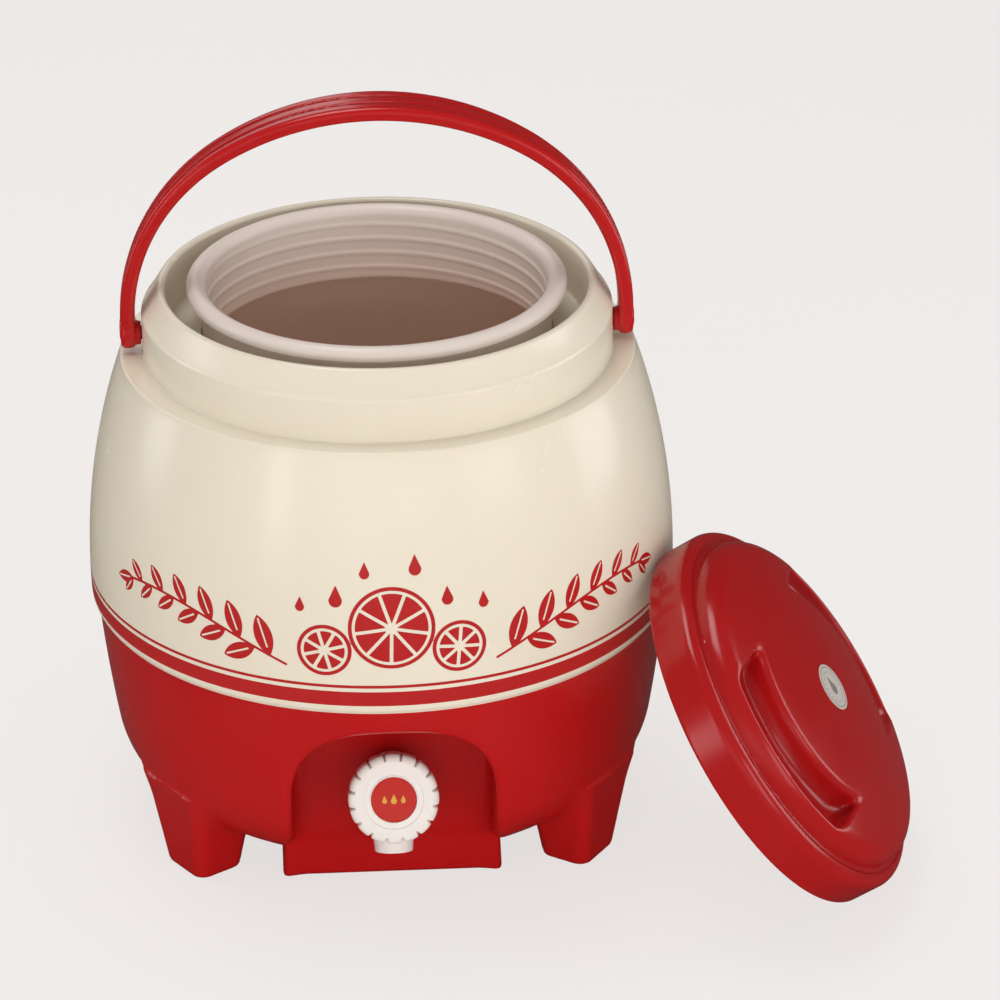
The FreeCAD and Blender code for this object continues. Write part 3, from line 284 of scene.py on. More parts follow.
def grown(tree, base, values):
    """Runs a node tree on a mesh and gives the plain mesh that comes out."""
    holder = shown("work", base)
    modifier = holder.modifiers.new("work", "NODES")
    modifier.node_group = tree
    keys = {item.name: item.identifier for item in tree.interface.items_tree if item.in_out == "INPUT"}
    for name, value in values.items():
        modifier[keys[name]] = value
    evaluated = holder.evaluated_get(bpy.context.evaluated_depsgraph_get())
    made = bpy.data.meshes.new_from_object(evaluated)
    bpy.data.objects.remove(holder)
    for i in reversed(range(len(made.materials))):
        if made.materials[i] is None:
            made.materials.pop(index=i)
    made.polygons.foreach_set("material_index", [0] * len(made.polygons))
    return made


turn_round = turning_tree()


def turned(outline, material, segments=256, step=4.0):
    """Mesh of a turned form from an outline in millimetres."""
    points = curve_points(outline, step)
    if points[0][0] > 0 or points[-1][0] > 0:
        points.append(points[0])
    base = bpy.data.meshes.new("profile")
    base.from_pydata([(r / 1000, 0.0, z / 1000) for r, z in points], [],
                     [(i, i + 1) for i in range(len(points) - 1)])
    return grown(turn_round, base, {"Segments": segments, "Material": material})


def piece(name, mesh, body, material, nodes=(), angle=32.0):
    """Object of a mesh, shaded smooth up to an angle, that rides on a body and stands for its nodes."""
    mesh.name = name
    mesh.polygons.foreach_set("use_smooth", [True] * len(mesh.polygons))
    mesh.set_sharp_from_angle(angle=math.radians(angle))
    if not mesh.materials:
        mesh.materials.append(material)
    made = shown(name, mesh)
    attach(made, body)
    if nodes:
        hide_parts(*nodes)
    return made


# Glossy polypropylene gives broad soft highlights that waver a little, and its pale ivory
# lets some light in, so that edges glow and the odd speck of dust shows.
ivory = moulded("ivory_polypropylene", "#e6ddca", "#e0d6c2", 0.22, specks=0.012, soft=0.05)
SEAM, WALL, SKIN = 147.0, 3.0, 2.5
LIP_TOP, BELLY, BARREL_ARC = 152.5, 172.7, 390.0
LEDGE_OUT, LEDGE_Z, LEDGE_ROUND = 150.0, 300.0, 1.4
NECK_OUT, NECK_TOP, CREASE_Z = 136.5, 324.0, 326.8
RIM_Z, RIM_IN, WELL_Z, WELL_HOLE = 340.3, 122.5, 310.0, 102.3
upper_outline = [
    (168.3, SEAM), (169.4, SEAM, 0.8, 1), (170.2, SEAM + 0.8, 6.0, 1), (BELLY, LIP_TOP, BARREL_ARC, 1),
    (LEDGE_OUT, LEDGE_Z - LEDGE_ROUND, LEDGE_ROUND, 1), (LEDGE_OUT - LEDGE_ROUND, LEDGE_Z),
    (NECK_OUT + 1.0, LEDGE_Z, 1.0, -1), (NECK_OUT, LEDGE_Z + 1.0),
    (NECK_OUT, NECK_TOP, 3.0, 1), (135.0, CREASE_Z), (127.4, 338.9, 2.8, 1), (124.9, RIM_Z, 2.6, 1),
    (RIM_IN, 338.2), (121.6, 312.5, 2.4, -1), (119.2, WELL_Z), (WELL_HOLE, WELL_Z),
    (WELL_HOLE, WELL_Z - SKIN), (124.0, WELL_Z - SKIN), (125.0, 335.7),
    (NECK_OUT - WALL, NECK_TOP - 0.5), (NECK_OUT - WALL, LEDGE_Z - WALL),
    (147.3, LEDGE_Z - WALL, BARREL_ARC - WALL, -1), (BELLY - WALL, LIP_TOP),
]
upper_mesh = turned(upper_outline, ivory, 320, 6.0)
piece("barrel", upper_mesh, "jug", ivory, ["shell_upper"], 50.0)


# Print
# Pad-printed red ink on the barrel, a film as thin as paint: a band and a fine line
# above the seam, and over them leaf sprigs, citrus slices and drops.
def printed(field, low, high, step, thick):
    """Closed film where a field in millimetres is negative. X runs along it, Z up and Y outward.
    Its rim is moved onto the field's zero line, by less than a step."""
    along, up = np.meshgrid(np.arange(low[0], high[0] + step, step), np.arange(low[1], high[1] + step, step),
                            indexing="ij")
    inked = field(along[:-1, :-1] + step / 2, up[:-1, :-1] + step / 2) < 0
    inked[0, :] = inked[-1, :] = inked[:, 0] = inked[:, -1] = False
    around = np.zeros(along.shape, int)
    for i in (0, 1):
        for j in (0, 1):
            around[i:along.shape[0] - 1 + i, j:along.shape[1] - 1 + j] += inked
    used = around > 0
    number = np.full(along.shape, -1)
    number[used] = np.arange(used.sum())
    points = np.stack([along[used], up[used]], 1)
    rim = around[used] < 4
    start = points[rim]
    moved = start.copy()
    nudge, flattest, farthest = 0.02, 0.3, 0.8 * step
    for _ in range(4):
        depth = field(*moved.T)
        slope = np.stack([(field(*(moved + d).T) - field(*(moved - d).T)) / (2 * nudge)
                          for d in np.eye(2) * nudge], 1)
        moved = moved - slope * (depth / np.maximum((slope * slope).sum(1), flattest))[:, None]
        reach = np.maximum(np.linalg.norm(moved - start, axis=1), 1e-9)
        moved = start + (moved - start) * np.minimum(farthest / reach, 1.0)[:, None]
    points[rim] = moved
    total = len(points)
    i, j = np.nonzero(inked)
    front = np.stack([number[i, j], number[i + 1, j], number[i + 1, j + 1], number[i, j + 1]], 1)
    quads = [front, front[:, ::-1] + total]
    for di, dj, a, b in ((0, -1, 0, 1), (1, 0, 1, 2), (0, 1, 2, 3), (-1, 0, 3, 0)):
        edge = front[~inked[i + di, j + dj]]
        quads.append(np.stack([edge[:, b], edge[:, a], edge[:, a] + total, edge[:, b] + total], 1))
    made = bpy.data.meshes.new("print")
    spots = [(x / 1000, y / 1000, z / 1000) for y in (thick / 2, -thick / 2) for x, z in points.tolist()]
    made.from_pydata(spots, [], np.concatenate(quads).tolist())
    return made


def leaf(x, z, foot_x, foot_z, turn, length, wide):
    """Pointed leaf from its foot, with an open vein along its middle."""
    vein, vein_shift, vein_reach = 1.1, 0.06 * length, 0.36 * length
    along = (x - foot_x) * math.cos(turn) + (z - foot_z) * math.sin(turn) - length / 2
    over = (z - foot_z) * math.cos(turn) - (x - foot_x) * math.sin(turn)
    bow = (length * length / 4 + wide * wide / 4) / wide
    blade = np.hypot(np.abs(over) + bow - wide / 2, along) - bow
    rib = np.maximum(np.abs(over) - vein / 2, np.abs(along - vein_shift) - vein_reach)
    return np.maximum(blade, -rib)


def stalk(x, z, spots, wide):
    """Line of even width through some points."""
    best = np.full(np.shape(x), 1e3)
    for (ax, az), (bx, bz) in zip(spots, spots[1:]):
        part = ((x - ax) * (bx - ax) + (z - az) * (bz - az)) / ((bx - ax) ** 2 + (bz - az) ** 2)
        part = np.clip(part, 0.0, 1.0)
        best = np.minimum(best, np.hypot(x - ax - part * (bx - ax), z - az - part * (bz - az)))
    return best - wide / 2


def slice_of_fruit(x, z, mid_x, mid_z, radius, turn, count):
    """Cut fruit: a rind ring and wedges with open lines between them."""
    rind, gap, line, core = 2.2, 1.7, 2.0, 2.6
    out = np.hypot(x - mid_x, z - mid_z)
    ring = np.abs(out - radius + rind / 2) - rind / 2
    angle = np.arctan2(z - mid_z, x - mid_x) + turn
    step = 2 * math.pi / count
    off = np.abs((angle / step + 0.5) % 1.0 - 0.5) * step
    wedge = np.maximum(out - radius + rind + gap, line / 2 - out * np.sin(off))
    return np.minimum(ring, np.maximum(wedge, core - out))


def drop(x, z, mid_x, mid_z, radius):
    """Water drop with its tip up, on a round belly."""
    flank_out, flank_up = 0.91, 0.41
    ball = np.hypot(x - mid_x, z - mid_z) - radius
    over, up = np.abs(x - mid_x), z - mid_z
    cone = np.maximum(over * flank_out + up * flank_up - radius, -up)
    return np.minimum(ball, cone)


def sprig(x, z, side, foot_x, foot_z, length):
    """Rising stalk with pairs of leaves, on one side of the jug."""
    rise, bow, sag, joints = 26.0, 1.9, 3.0, 12
    longest, tip_long, tip_wide = 26.0, 17.0, 7.0
    x = x * side
    line = [(foot_x + length * t, foot_z + rise * math.sin(t * bow) - sag * t)
            for t in np.linspace(0, 1, joints + 1)]
    shape = stalk(x, z, line, 1.5)
    for k in range(1, joints, 2):
        (ax, az), (bx, bz) = line[k], line[k + 1]
        along = math.atan2(bz - az, bx - ax)
        size = longest - k
        shape = np.minimum(shape, leaf(x, z, ax, az, along + 0.85, size, size * 0.44))
        shape = np.minimum(shape, leaf(x, z, bx, bz, along - 0.80, size * 0.86, size * 0.40))
    tip_x, tip_z = line[-1]
    return np.minimum(shape, leaf(x, z, tip_x, tip_z, along - 0.1, tip_long, tip_wide))


def jug_print(x, z):
    shape = np.minimum(sprig(x, z, -1, 60.0, 177.0, 112.0), sprig(x, z, 1, 60.0, 177.0, 112.0))
    for mid_x, mid_z, radius, turn, count in (
        (0.0, 202.0, 24.5, 0.2, 9), (-38.0, 188.0, 15.5, 0.5, 8), (38.0, 188.0, 15.5, 0.1, 8),
    ):
        shape = np.minimum(shape, slice_of_fruit(x, z, mid_x, mid_z, radius, turn, count))
    for mid_x, mid_z, radius in (
        (-31.5, 218.0, 3.8), (32.0, 217.0, 3.3), (-15.0, 234.0, 2.9), (14.0, 236.0, 3.6),
        (-52.0, 213.0, 2.6), (53.0, 212.0, 2.9),
    ):
        shape = np.minimum(shape, drop(x, z, mid_x, mid_z, radius))
    return shape


def wrapping_tree():
    """Lays a flat print round a barrel whose side is an arc."""
    tree, given = form_tree("wrapped_print", "Print",
                            ("Girth Radius", "Arc Radius", "Arc Centre", "Arc Height"))
    arc = given.outputs["Arc Radius"]
    spot = add(tree, "GeometryNodeInputPosition")
    x, y, z = add(tree, "ShaderNodeSeparateXYZ", [(spot, 0)]).outputs
    above = add(tree, "ShaderNodeMath", [(z, 0), (given.outputs["Arc Height"], 1)], operation="SUBTRACT")
    above_square = add(tree, "ShaderNodeMath", [(above, 0), (above, 1)], operation="MULTIPLY")
    arc_square = add(tree, "ShaderNodeMath", [(arc, 0), (arc, 1)], operation="MULTIPLY")
    square = add(tree, "ShaderNodeMath", [(arc_square, 0), (above_square, 1)], operation="SUBTRACT")
    reach = add(tree, "ShaderNodeMath", [(square, 0)], operation="SQRT")
    side = add(tree, "ShaderNodeMath", [(reach, 0), (given.outputs["Arc Centre"], 1)], operation="ADD")
    radius = add(tree, "ShaderNodeMath", [(side, 0), (y, 1)], operation="ADD")
    angle = add(tree, "ShaderNodeMath", [(x, 0), (given.outputs["Girth Radius"], 1)], operation="DIVIDE")
    sine = add(tree, "ShaderNodeMath", [(angle, 0)], operation="SINE")
    cosine = add(tree, "ShaderNodeMath", [(angle, 0)], operation="COSINE")
    right = add(tree, "ShaderNodeMath", [(sine, 0), (radius, 1)], operation="MULTIPLY")
    back = add(tree, "ShaderNodeMath", [(cosine, 0), (radius, 1)], operation="MULTIPLY")
    front = add(tree, "ShaderNodeMath", [(back, 0)], {1: -1.0}, operation="MULTIPLY")
    placed = add(tree, "ShaderNodeCombineXYZ", [(right, "X"), (front, "Y"), (z, "Z")])
    laid = add(tree, "GeometryNodeSetPosition", [(given.outputs["Print"], "Geometry"), (placed, "Position")])
    return close_form(tree, given, laid, weld=2e-6)


def printing_ink(name, thin, full):
    """Flat ink whose coverage drifts a little."""
    made, tree = new_material(name)
    place = add(tree, "ShaderNodeTexCoord").outputs["Object"]
    coverage = add(tree, "ShaderNodeTexNoise", [(place, "Vector")], {"Scale": 400.0, "Detail": 3.0})
    tone = add(tree, "ShaderNodeMix", [(coverage, 0)], {"A": shade(thin), "B": shade(full)},
               data_type="RGBA")
    sheen = add(tree, "ShaderNodeMapRange", [(coverage, "Value")], {"To Min": 0.25, "To Max": 0.4})
    coat = add(tree, "ShaderNodeBsdfPrincipled",
               [(tone.outputs["Result"], "Base Color"), (sheen, "Roughness")], {"IOR": 1.49})
    add(tree, "ShaderNodeOutputMaterial", [(coat, "Surface")])
    return made


# Thin red ink lies flat on the gloss and looks a shade duller than the red plastic.
ink = printing_ink("red_printing_ink", "#ad1518", "#b91a1b")
FILM, GIRTH = 0.14, 171.0
wide, tall = BELLY - LEDGE_OUT, LEDGE_Z - LEDGE_ROUND - LIP_TOP
to_centre = math.sqrt(BARREL_ARC ** 2 - (wide ** 2 + tall ** 2) / 4) / math.hypot(wide, tall)
arc_out = (BELLY + LEDGE_OUT) / 2 - tall * to_centre
arc_height = LIP_TOP + tall / 2 - wide * to_centre
print_mesh = printed(jug_print, (-200.0, 168.5), (200.0, 246.0), 0.6, FILM)
print_mesh = grown(wrapping_tree(), print_mesh, {
    "Girth Radius": GIRTH / 1000, "Arc Radius": BARREL_ARC / 1000, "Arc Centre": arc_out / 1000,
    "Arc Height": arc_height / 1000, "Material": ink,
})
piece("barrel_print", print_mesh, "jug", ink, (), 30.0)
for name, low, high in (("printed_band", 153.6, 162.6), ("printed_line", 165.0, 166.8)):
    levels = np.linspace(low, high, 6)
    radii = arc_out + np.sqrt(BARREL_ARC ** 2 - (levels - arc_height) ** 2)
    outline = [(r + FILM / 2, z) for r, z in zip(radii, levels)]
    outline += [(r - FILM / 2, z) for r, z in zip(radii[::-1], levels[::-1])]
    piece(name, turned(outline, ink, 320), "jug", ink, (), 30.0)


# Lower shell
# Red bowl with four hollow feet, the front block and the niche for the tap, moulded
# in one piece, with soft fillets where the feet and the niche meet the bowl.
def soft_max(a, b, radius):
    """Larger of two fields, with a fillet where they meet."""
    rise = np.maximum(radius - np.abs(a - b), 0.0) / radius
    return np.maximum(a, b) + rise * rise * radius / 4


def soft_min(a, b, radius):
    return -soft_max(-a, -b, radius)


def round_box(u, v, half_u, half_v, corner):
    """Distance to a rectangle with rounded corners."""
    far_u = np.abs(u) - half_u + corner
    far_v = np.abs(v) - half_v + corner
    outside = np.hypot(np.maximum(far_u, 0.0), np.maximum(far_v, 0.0))
    return outside + np.minimum(np.maximum(far_u, far_v), 0.0) - corner


def skinned(field, low, high, step, place=None):
    """Closed mesh of the surface on which a distance field in millimetres is zero: one point in each
    cell that the surface crosses, moved down the field's slope onto it."""
    axes = [np.arange(a, b + step, step) for a, b in zip(low, high)]
    inside = field(*np.meshgrid(*axes, indexing="ij")) < 0
    size = inside.shape
    corners = sum(
        inside[a:size[0] - 1 + a, b:size[1] - 1 + b, c:size[2] - 1 + c].astype(np.int8)
        for a in (0, 1) for b in (0, 1) for c in (0, 1)
    )
    crossed = (corners > 0) & (corners < 8)
    number = np.full(crossed.shape, -1)
    number[crossed] = np.arange(crossed.sum())
    points = np.array(low) + (np.argwhere(crossed) + 0.5) * step
    quads = []
    for axis in range(3):
        first, second = [k for k in range(3) if k != axis]
        near = [slice(None)] * 3
        far = [slice(None)] * 3
        near[axis] = slice(0, -1)
        far[axis] = slice(1, None)
        here = inside[tuple(near)]
        cells = np.argwhere(here != inside[tuple(far)])
        leaving = here[tuple(cells.T)]
        ring = []
        for back_first, back_second in ((1, 1), (0, 1), (0, 0), (1, 0)):
            beside = cells.copy()
            beside[:, first] -= back_first
            beside[:, second] -= back_second
            ring.append(number[tuple(beside.T)])
        quad = np.stack(ring, 1)
        turn_over = leaving if axis == 1 else ~leaving
        quad[turn_over] = quad[turn_over][:, ::-1]
        quads.append(quad)
    nudge, flattest, pace = 0.01, 0.2, 0.9
    for _ in range(6):
        depth = field(*points.T)
        slope = np.stack([(field(*(points + d).T) - field(*(points - d).T)) / (2 * nudge)
                          for d in np.eye(3) * nudge], 1)
        points = points - slope * (depth / np.maximum((slope * slope).sum(1), flattest))[:, None] * pace
    if place is not None:
        points = points @ np.array(place.to_3x3().transposed()) + np.array(place.translation) * 1000
    made = bpy.data.meshes.new("skin")
    made.from_pydata((points / 1000).tolist(), [], np.concatenate(quads).tolist())
    return made


def joined(mesh, other, operation):
    """Mesh with another one added to it or taken from it."""
    one, two = shown("one", mesh), shown("two", other)
    cutter = one.modifiers.new("cutter", "BOOLEAN")
    cutter.operation = operation
    cutter.solver = "EXACT"
    cutter.object = two
    made = bpy.data.meshes.new_from_object(one.evaluated_get(bpy.context.evaluated_depsgraph_get()))
    bpy.data.objects.remove(one)
    bpy.data.objects.remove(two)
    return made


# Glossy red polypropylene gives crisp highlights on a deep colour.
red = moulded("red_polypropylene", "#b81314", "#ae1011", 0.20, peel=0.10)
BASE, LOW_MID, LOW_CURVE, SIDE_CURVE, KNEE = 27.0, 108.8, 52.2, 974.0, math.radians(9.0)
NICHE_HALF, NICHE_RISE, NICHE_Z, NICHE_FULL, FACE = 58.5, 55.5, 75.5, 2.5, 100.0
FEET_ANGLE, FEET_MID, FEET_TOP, DRAFT_TOP = 55.5, 134.75, 58.0, 60.0


def bowl_field(x, y, z):
    """Flat base, a tight curve round its edge, and a tall shallow curve up the side."""
    radius = np.hypot(x, y)
    beside, over = radius - LOW_MID, z - BASE - LOW_CURVE
    reach = SIDE_CURVE - LOW_CURVE
    arc = np.hypot(beside, over) - LOW_CURVE
    side = np.hypot(beside + reach * math.cos(KNEE), over - reach * math.sin(KNEE)) - SIDE_CURVE
    wall = np.where(np.arctan2(over, beside) > -KNEE, side, arc)
    wall = np.where((beside < 0) & (over < 0), BASE - z, wall)
    return np.where((beside < 0) & (over >= 0), side, wall)


def foot_field(x, y, z, angle):
    """Foot that widens upwards, at an angle round the jug."""
    half_out, half_wide, out_draft, wide_draft = 16.0, 18.5, 0.13, 0.17
    outward = x * math.cos(angle) + y * math.sin(angle)
    sideways = y * math.cos(angle) - x * math.sin(angle)
    rise = np.clip(z, 0.0, DRAFT_TOP)
    shape = round_box(outward - FEET_MID, sideways, half_out + rise * out_draft,
                      half_wide + rise * wide_draft, 8.0)
    return soft_max(np.maximum(shape, z - FEET_TOP), -z, 3.0)


def arch_field(x, z, half, rise):
    """Distance to the niche's outline: upright sides under a broad arch with full shoulders."""
    lift = np.maximum(z - NICHE_Z, 0.0) / rise
    return ((np.abs(x) / half) ** NICHE_FULL + lift ** NICHE_FULL) ** (1 / NICHE_FULL) * half - half


def lower_field(x, y, z):
    """Bowl with its feet and front block, and the niche cut into them."""
    block_mid, block_half, block_draft = 82.0, 64.8, 0.04
    shape = bowl_field(x, y, z)
    for side in (-1, 1):
        for ahead in (FEET_ANGLE, 180.0 - FEET_ANGLE):
            angle = math.radians(-90.0 + side * ahead)
            shape = soft_min(shape, foot_field(x, y, z, angle), 9.0)
    half = block_half - np.clip(z, 0.0, DRAFT_TOP) * block_draft
    block = round_box(x, y + block_mid, half, FACE - block_mid, 4.0)
    block = soft_max(soft_max(block, z - FEET_TOP, 3.0), -z, 3.0)
    shape = soft_min(shape, block, 6.0)
    niche = soft_max(arch_field(x, z, NICHE_HALF, NICHE_RISE), y + FACE, 12.0)
    return soft_max(soft_max(shape, -niche, 7.0), z - SEAM, 1.2)


lower_mesh = skinned(lower_field, (-176.0, -176.0, -4.0), (176.0, 176.0, 151.0), 2.0)
cavity_outline = [
    (0.0, BASE + WALL), (LOW_MID, BASE + WALL, LOW_CURVE - WALL, 1), (157.4, 71.5, SIDE_CURVE - WALL, 1),
    (166.3, SEAM), (166.3, SEAM + 5.0), (0.0, SEAM + 5.0),
]


def arched_block(margin, near, far):
    """Solid arch that follows the niche at a margin, between two distances in front of the axis."""
    half, rise, foot_z = NICHE_HALF + margin, NICHE_RISE + margin, -10.0
    line = [(half, foot_z), (half, NICHE_Z)]
    for turn in range(5, 180, 5):
        over, up = math.cos(math.radians(turn)), math.sin(math.radians(turn))
        line.append((math.copysign(abs(over) ** (2 / NICHE_FULL), over) * half,
                     NICHE_Z + up ** (2 / NICHE_FULL) * rise))
    line += [(-half, NICHE_Z), (-half, foot_z)]
    total = len(line)
    made = bpy.data.meshes.new("arch")
    work = bmesh.new()
    rings = [[work.verts.new((x / 1000, -y / 1000, z / 1000)) for x, z in line] for y in (far, near)]
    work.faces.new(rings[0])
    work.faces.new(rings[1])
    for i in range(total):
        after = (i + 1) % total
        work.faces.new((rings[0][i], rings[1][i], rings[1][after], rings[0][after]))
    bmesh.ops.recalc_face_normals(work, faces=work.faces)
    work.to_mesh(made)
    work.free()
    return made


cavity = joined(turned(cavity_outline, red, 160, 8.0), arched_block(WALL, FACE - WALL, 250.0), "DIFFERENCE")
lower_mesh = joined(lower_mesh, cavity, "DIFFERENCE")
piece("bowl_with_feet", lower_mesh, "jug", red, ["shell_lower"], 40.0)


# Inner vessel
# White blow-moulded vessel with a rolled bead at the mouth and a coarse screw thread
# inside its neck, which the plug of the lid turns into.
def thread_tree():
    """Raises a helical ridge on the walls near one radius, or sinks a groove at a negative depth."""
    tree, given = form_tree("screw_thread", "Wall", ("Radius", "Pitch", "Depth", "Low", "High"))
    fade, reach = 0.006, 0.0004
    spot = add(tree, "GeometryNodeInputPosition")
    x, y, z = add(tree, "ShaderNodeSeparateXYZ", [(spot, 0)]).outputs
    flat = add(tree, "ShaderNodeCombineXYZ", [(x, "X"), (y, "Y")])
    radius = add(tree, "ShaderNodeVectorMath", [(flat, 0)], operation="LENGTH").outputs["Value"]
    angle = add(tree, "ShaderNodeMath", [(y, 0), (x, 1)], operation="ARCTAN2")
    share = add(tree, "ShaderNodeMath", [(angle, 0)], {1: 2 * math.pi}, operation="DIVIDE")
    turns = add(tree, "ShaderNodeMath", [(z, 0), (given.outputs["Pitch"], 1)], operation="DIVIDE")
    phase = add(tree, "ShaderNodeMath", [(turns, 0), (share, 1)], operation="SUBTRACT")
    around = add(tree, "ShaderNodeMath", [(phase, 0)], {1: 2 * math.pi}, operation="MULTIPLY")
    wave = add(tree, "ShaderNodeMath", [(around, 0)], operation="COSINE")
    height = add(tree, "ShaderNodeMapRange", [(wave, "Value")], {"From Min": 0.1, "From Max": 1.0},
                 interpolation_type="SMOOTHSTEP")
    factors = []
    for end, inward in ((given.outputs["Low"], "ADD"), (given.outputs["High"], "SUBTRACT")):
        full = add(tree, "ShaderNodeMath", [(end, 0)], {1: fade}, operation=inward)
        run = add(tree, "ShaderNodeMapRange", [(z, "Value"), (end, "From Min"), (full, "From Max")])
        factors.append(run)
    gap = add(tree, "ShaderNodeMath", [(radius, 0), (given.outputs["Radius"], 1)], operation="SUBTRACT")
    gap_size = add(tree, "ShaderNodeMath", [(gap, 0)], operation="ABSOLUTE")
    factors.append(add(tree, "ShaderNodeMath", [(gap_size, 0)], {1: reach}, operation="LESS_THAN"))
    for factor in factors + [given.outputs["Depth"]]:
        height = add(tree, "ShaderNodeMath", [(height, 0), (factor, 1)], operation="MULTIPLY")
    outward = add(tree, "ShaderNodeVectorMath", [(flat, 0)], operation="NORMALIZE")
    push = add(tree, "ShaderNodeVectorMath", [(outward, 0), (height, "Scale")], operation="SCALE")
    moved = add(tree, "GeometryNodeSetPosition", [(given.outputs["Wall"], "Geometry"), (push, "Offset")])
    return close_form(tree, given, moved)


def close_steps(radius, low, high):
    """Points up a straight wall, close enough together to carry a thread."""
    rise = 0.6
    return [(radius, low + k * rise) for k in range(1, round((high - low) / rise))]


cut_thread = thread_tree()
# Satin white polyethylene gives wide dull highlights. Deep in the vessel its colour is painted lighter and
# warmer, a painted glow standing in for the light that bounces from wall to wall.
vessel_white = moulded("white_polyethylene", "#e2d6cd", "#dacdc3", 0.34, peel=0.2,
                       below=("#f4dccb", 0.285, 0.338))
FLOOR_Z, FLOOR_CURVE, VESSEL_OUT, VESSEL_ARC = 50.0, 58.0, 139.6, 827.0
SIDE_Z, SHOULDER_Z, SHOULDER_CURVE = 108.0, 262.0, 38.0
NECK_IN, VESSEL_NECK, THREAD_PITCH = 99.1, 101.6, 0.0092
BEAD_Z, BEAD_TOP, BEAD_LOW, BEAD_MID, BEAD_CURVE, HOOK_CURVE = 338.8, 344.3, 337.4, 104.6, 5.5, 3.0
vessel_outline = [
    (0.0, FLOOR_Z), (VESSEL_OUT - FLOOR_CURVE, FLOOR_Z, FLOOR_CURVE, 1), (VESSEL_OUT, SIDE_Z, VESSEL_ARC, 1),
    (VESSEL_OUT, SHOULDER_Z, SHOULDER_CURVE, 1), (VESSEL_NECK, LEDGE_Z),
    (VESSEL_NECK, BEAD_Z, HOOK_CURVE, -1), (BEAD_MID, BEAD_Z + HOOK_CURVE, HOOK_CURVE, -1),
    (BEAD_MID + HOOK_CURVE, BEAD_Z), (BEAD_MID + HOOK_CURVE, BEAD_LOW), (BEAD_MID + BEAD_CURVE, BEAD_LOW),
    (BEAD_MID + BEAD_CURVE, BEAD_Z, BEAD_CURVE, 1), (BEAD_MID, BEAD_TOP), (0.0, BEAD_TOP),
]
room_out, above = VESSEL_OUT - SKIN, BEAD_TOP + 5.7
room_outline = [
    (0.0, FLOOR_Z + SKIN), (VESSEL_OUT - FLOOR_CURVE, FLOOR_Z + SKIN, FLOOR_CURVE - SKIN, 1),
    (room_out, SIDE_Z, VESSEL_ARC - SKIN, 1), (room_out, SHOULDER_Z, SHOULDER_CURVE - SKIN, 1),
    (VESSEL_NECK, LEDGE_Z - SKIN), (NECK_IN + 0.5, LEDGE_Z - 1.4), (NECK_IN, LEDGE_Z),
] + close_steps(NECK_IN, LEDGE_Z, BEAD_Z) + [
    (NECK_IN, BEAD_Z, BEAD_CURVE, -1), (103.9, 344.26), (103.9, above), (0.0, above),
]
vessel_outer = turned(vessel_outline, vessel_white, 192, 6.0)
vessel_room = turned(room_outline, vessel_white, 256, 6.0)
vessel_room = grown(cut_thread, vessel_room, {
    "Radius": NECK_IN / 1000, "Pitch": THREAD_PITCH, "Depth": -0.0007, "Low": 0.300, "High": 0.3375,
    "Material": vessel_white,
})
RELIEF = 11.0
outer_relief = arched_block(RELIEF, FACE - RELIEF, 200.0)
room_relief = arched_block(RELIEF + SKIN, FACE - RELIEF - SKIN, 200.0)
vessel_outer = joined(vessel_outer, outer_relief, "DIFFERENCE")
vessel_room = joined(vessel_room, room_relief, "DIFFERENCE")
vessel_mesh = joined(vessel_outer, vessel_room, "DIFFERENCE")
TAP_Z, SHANK_HOLE, HOLE_LONG, HOLE_Y = 0.068, 0.0094, 0.03, -0.095
shank_way = bpy.data.meshes.new("shank_way")
work = bmesh.new()
through_wall = Matrix.Translation((0.0, HOLE_Y, TAP_Z)) @ Matrix.Rotation(math.pi / 2, 4, "X")
bmesh.ops.create_cone(work, cap_ends=True, segments=48, radius1=SHANK_HOLE, radius2=SHANK_HOLE,
                      depth=HOLE_LONG, matrix=through_wall)
work.to_mesh(shank_way)
work.free()
vessel_mesh = joined(vessel_mesh, shank_way, "DIFFERENCE")
piece("inner_vessel", vessel_mesh, "jug", vessel_white, ["inner_liner"], 45.0)


# Handle
# Red bail, an arched flat band with two grooves along it, moulded in one piece with
# the round eyes, bosses and pins that snap into the neck band.
PIVOT, ARM_OUT, CROWN_ARC, BEND_ARC = 311.0, 148.8, 170.0, 125.0
CROWN_Z, BEND_X, BEND_Z = 281.4, 23.8, 319.59


def arch_depth(x, z):
    """Distance outward from the outer face of the arch: a crown, a bend on each side, straight arms."""
    beside = np.abs(x)
    crown = np.hypot(beside, z - CROWN_Z) - CROWN_ARC
    bend = np.hypot(beside - BEND_X, z - BEND_Z) - BEND_ARC
    on_crown = beside * (BEND_Z - CROWN_Z) < (z - CROWN_Z) * BEND_X
    return np.where(z < BEND_Z, beside - ARM_OUT, np.where(on_crown, crown, bend))


def handle_field(x, y, z):
    """Band that narrows towards its arms, with two grooves, and the eyes, bosses and pins."""
    thick, half_wide, taper, span = 8.6, 15.5, 7.5, 150.8
    groove_y, groove_half, groove_deep, groove_edge = 5.2, 0.95, 1.7, 0.9
    outer = arch_depth(x, z)
    plan = (span ** 2 + taper ** 2) / (2 * taper)
    half = half_wide - plan + np.sqrt(np.maximum(plan ** 2 - x ** 2, 0.0))
    shape = soft_max(np.abs(y) - half, np.abs(outer + thick / 2) - thick / 2, 4.0)
    groove = round_box(np.abs(y) - groove_y, outer - 0.4, groove_half, groove_deep, groove_edge)
    shape = np.maximum(soft_max(shape, -groove, 0.8), PIVOT - z)
    out = np.abs(x)
    around = np.hypot(y, z - PIVOT)
    for radius, middle, half_long, edge, fillet in (
        (9.0, 144.5, 4.3, 3.5, 2.0), (7.0, 139.4, 2.3, 1.0, 0.8), (4.0, 134.0, 5.0, 1.0, 0.6),
    ):
        stub = soft_max(around - radius, np.abs(out - middle) - half_long, edge)
        shape = soft_min(shape, stub, fillet)
    return shape


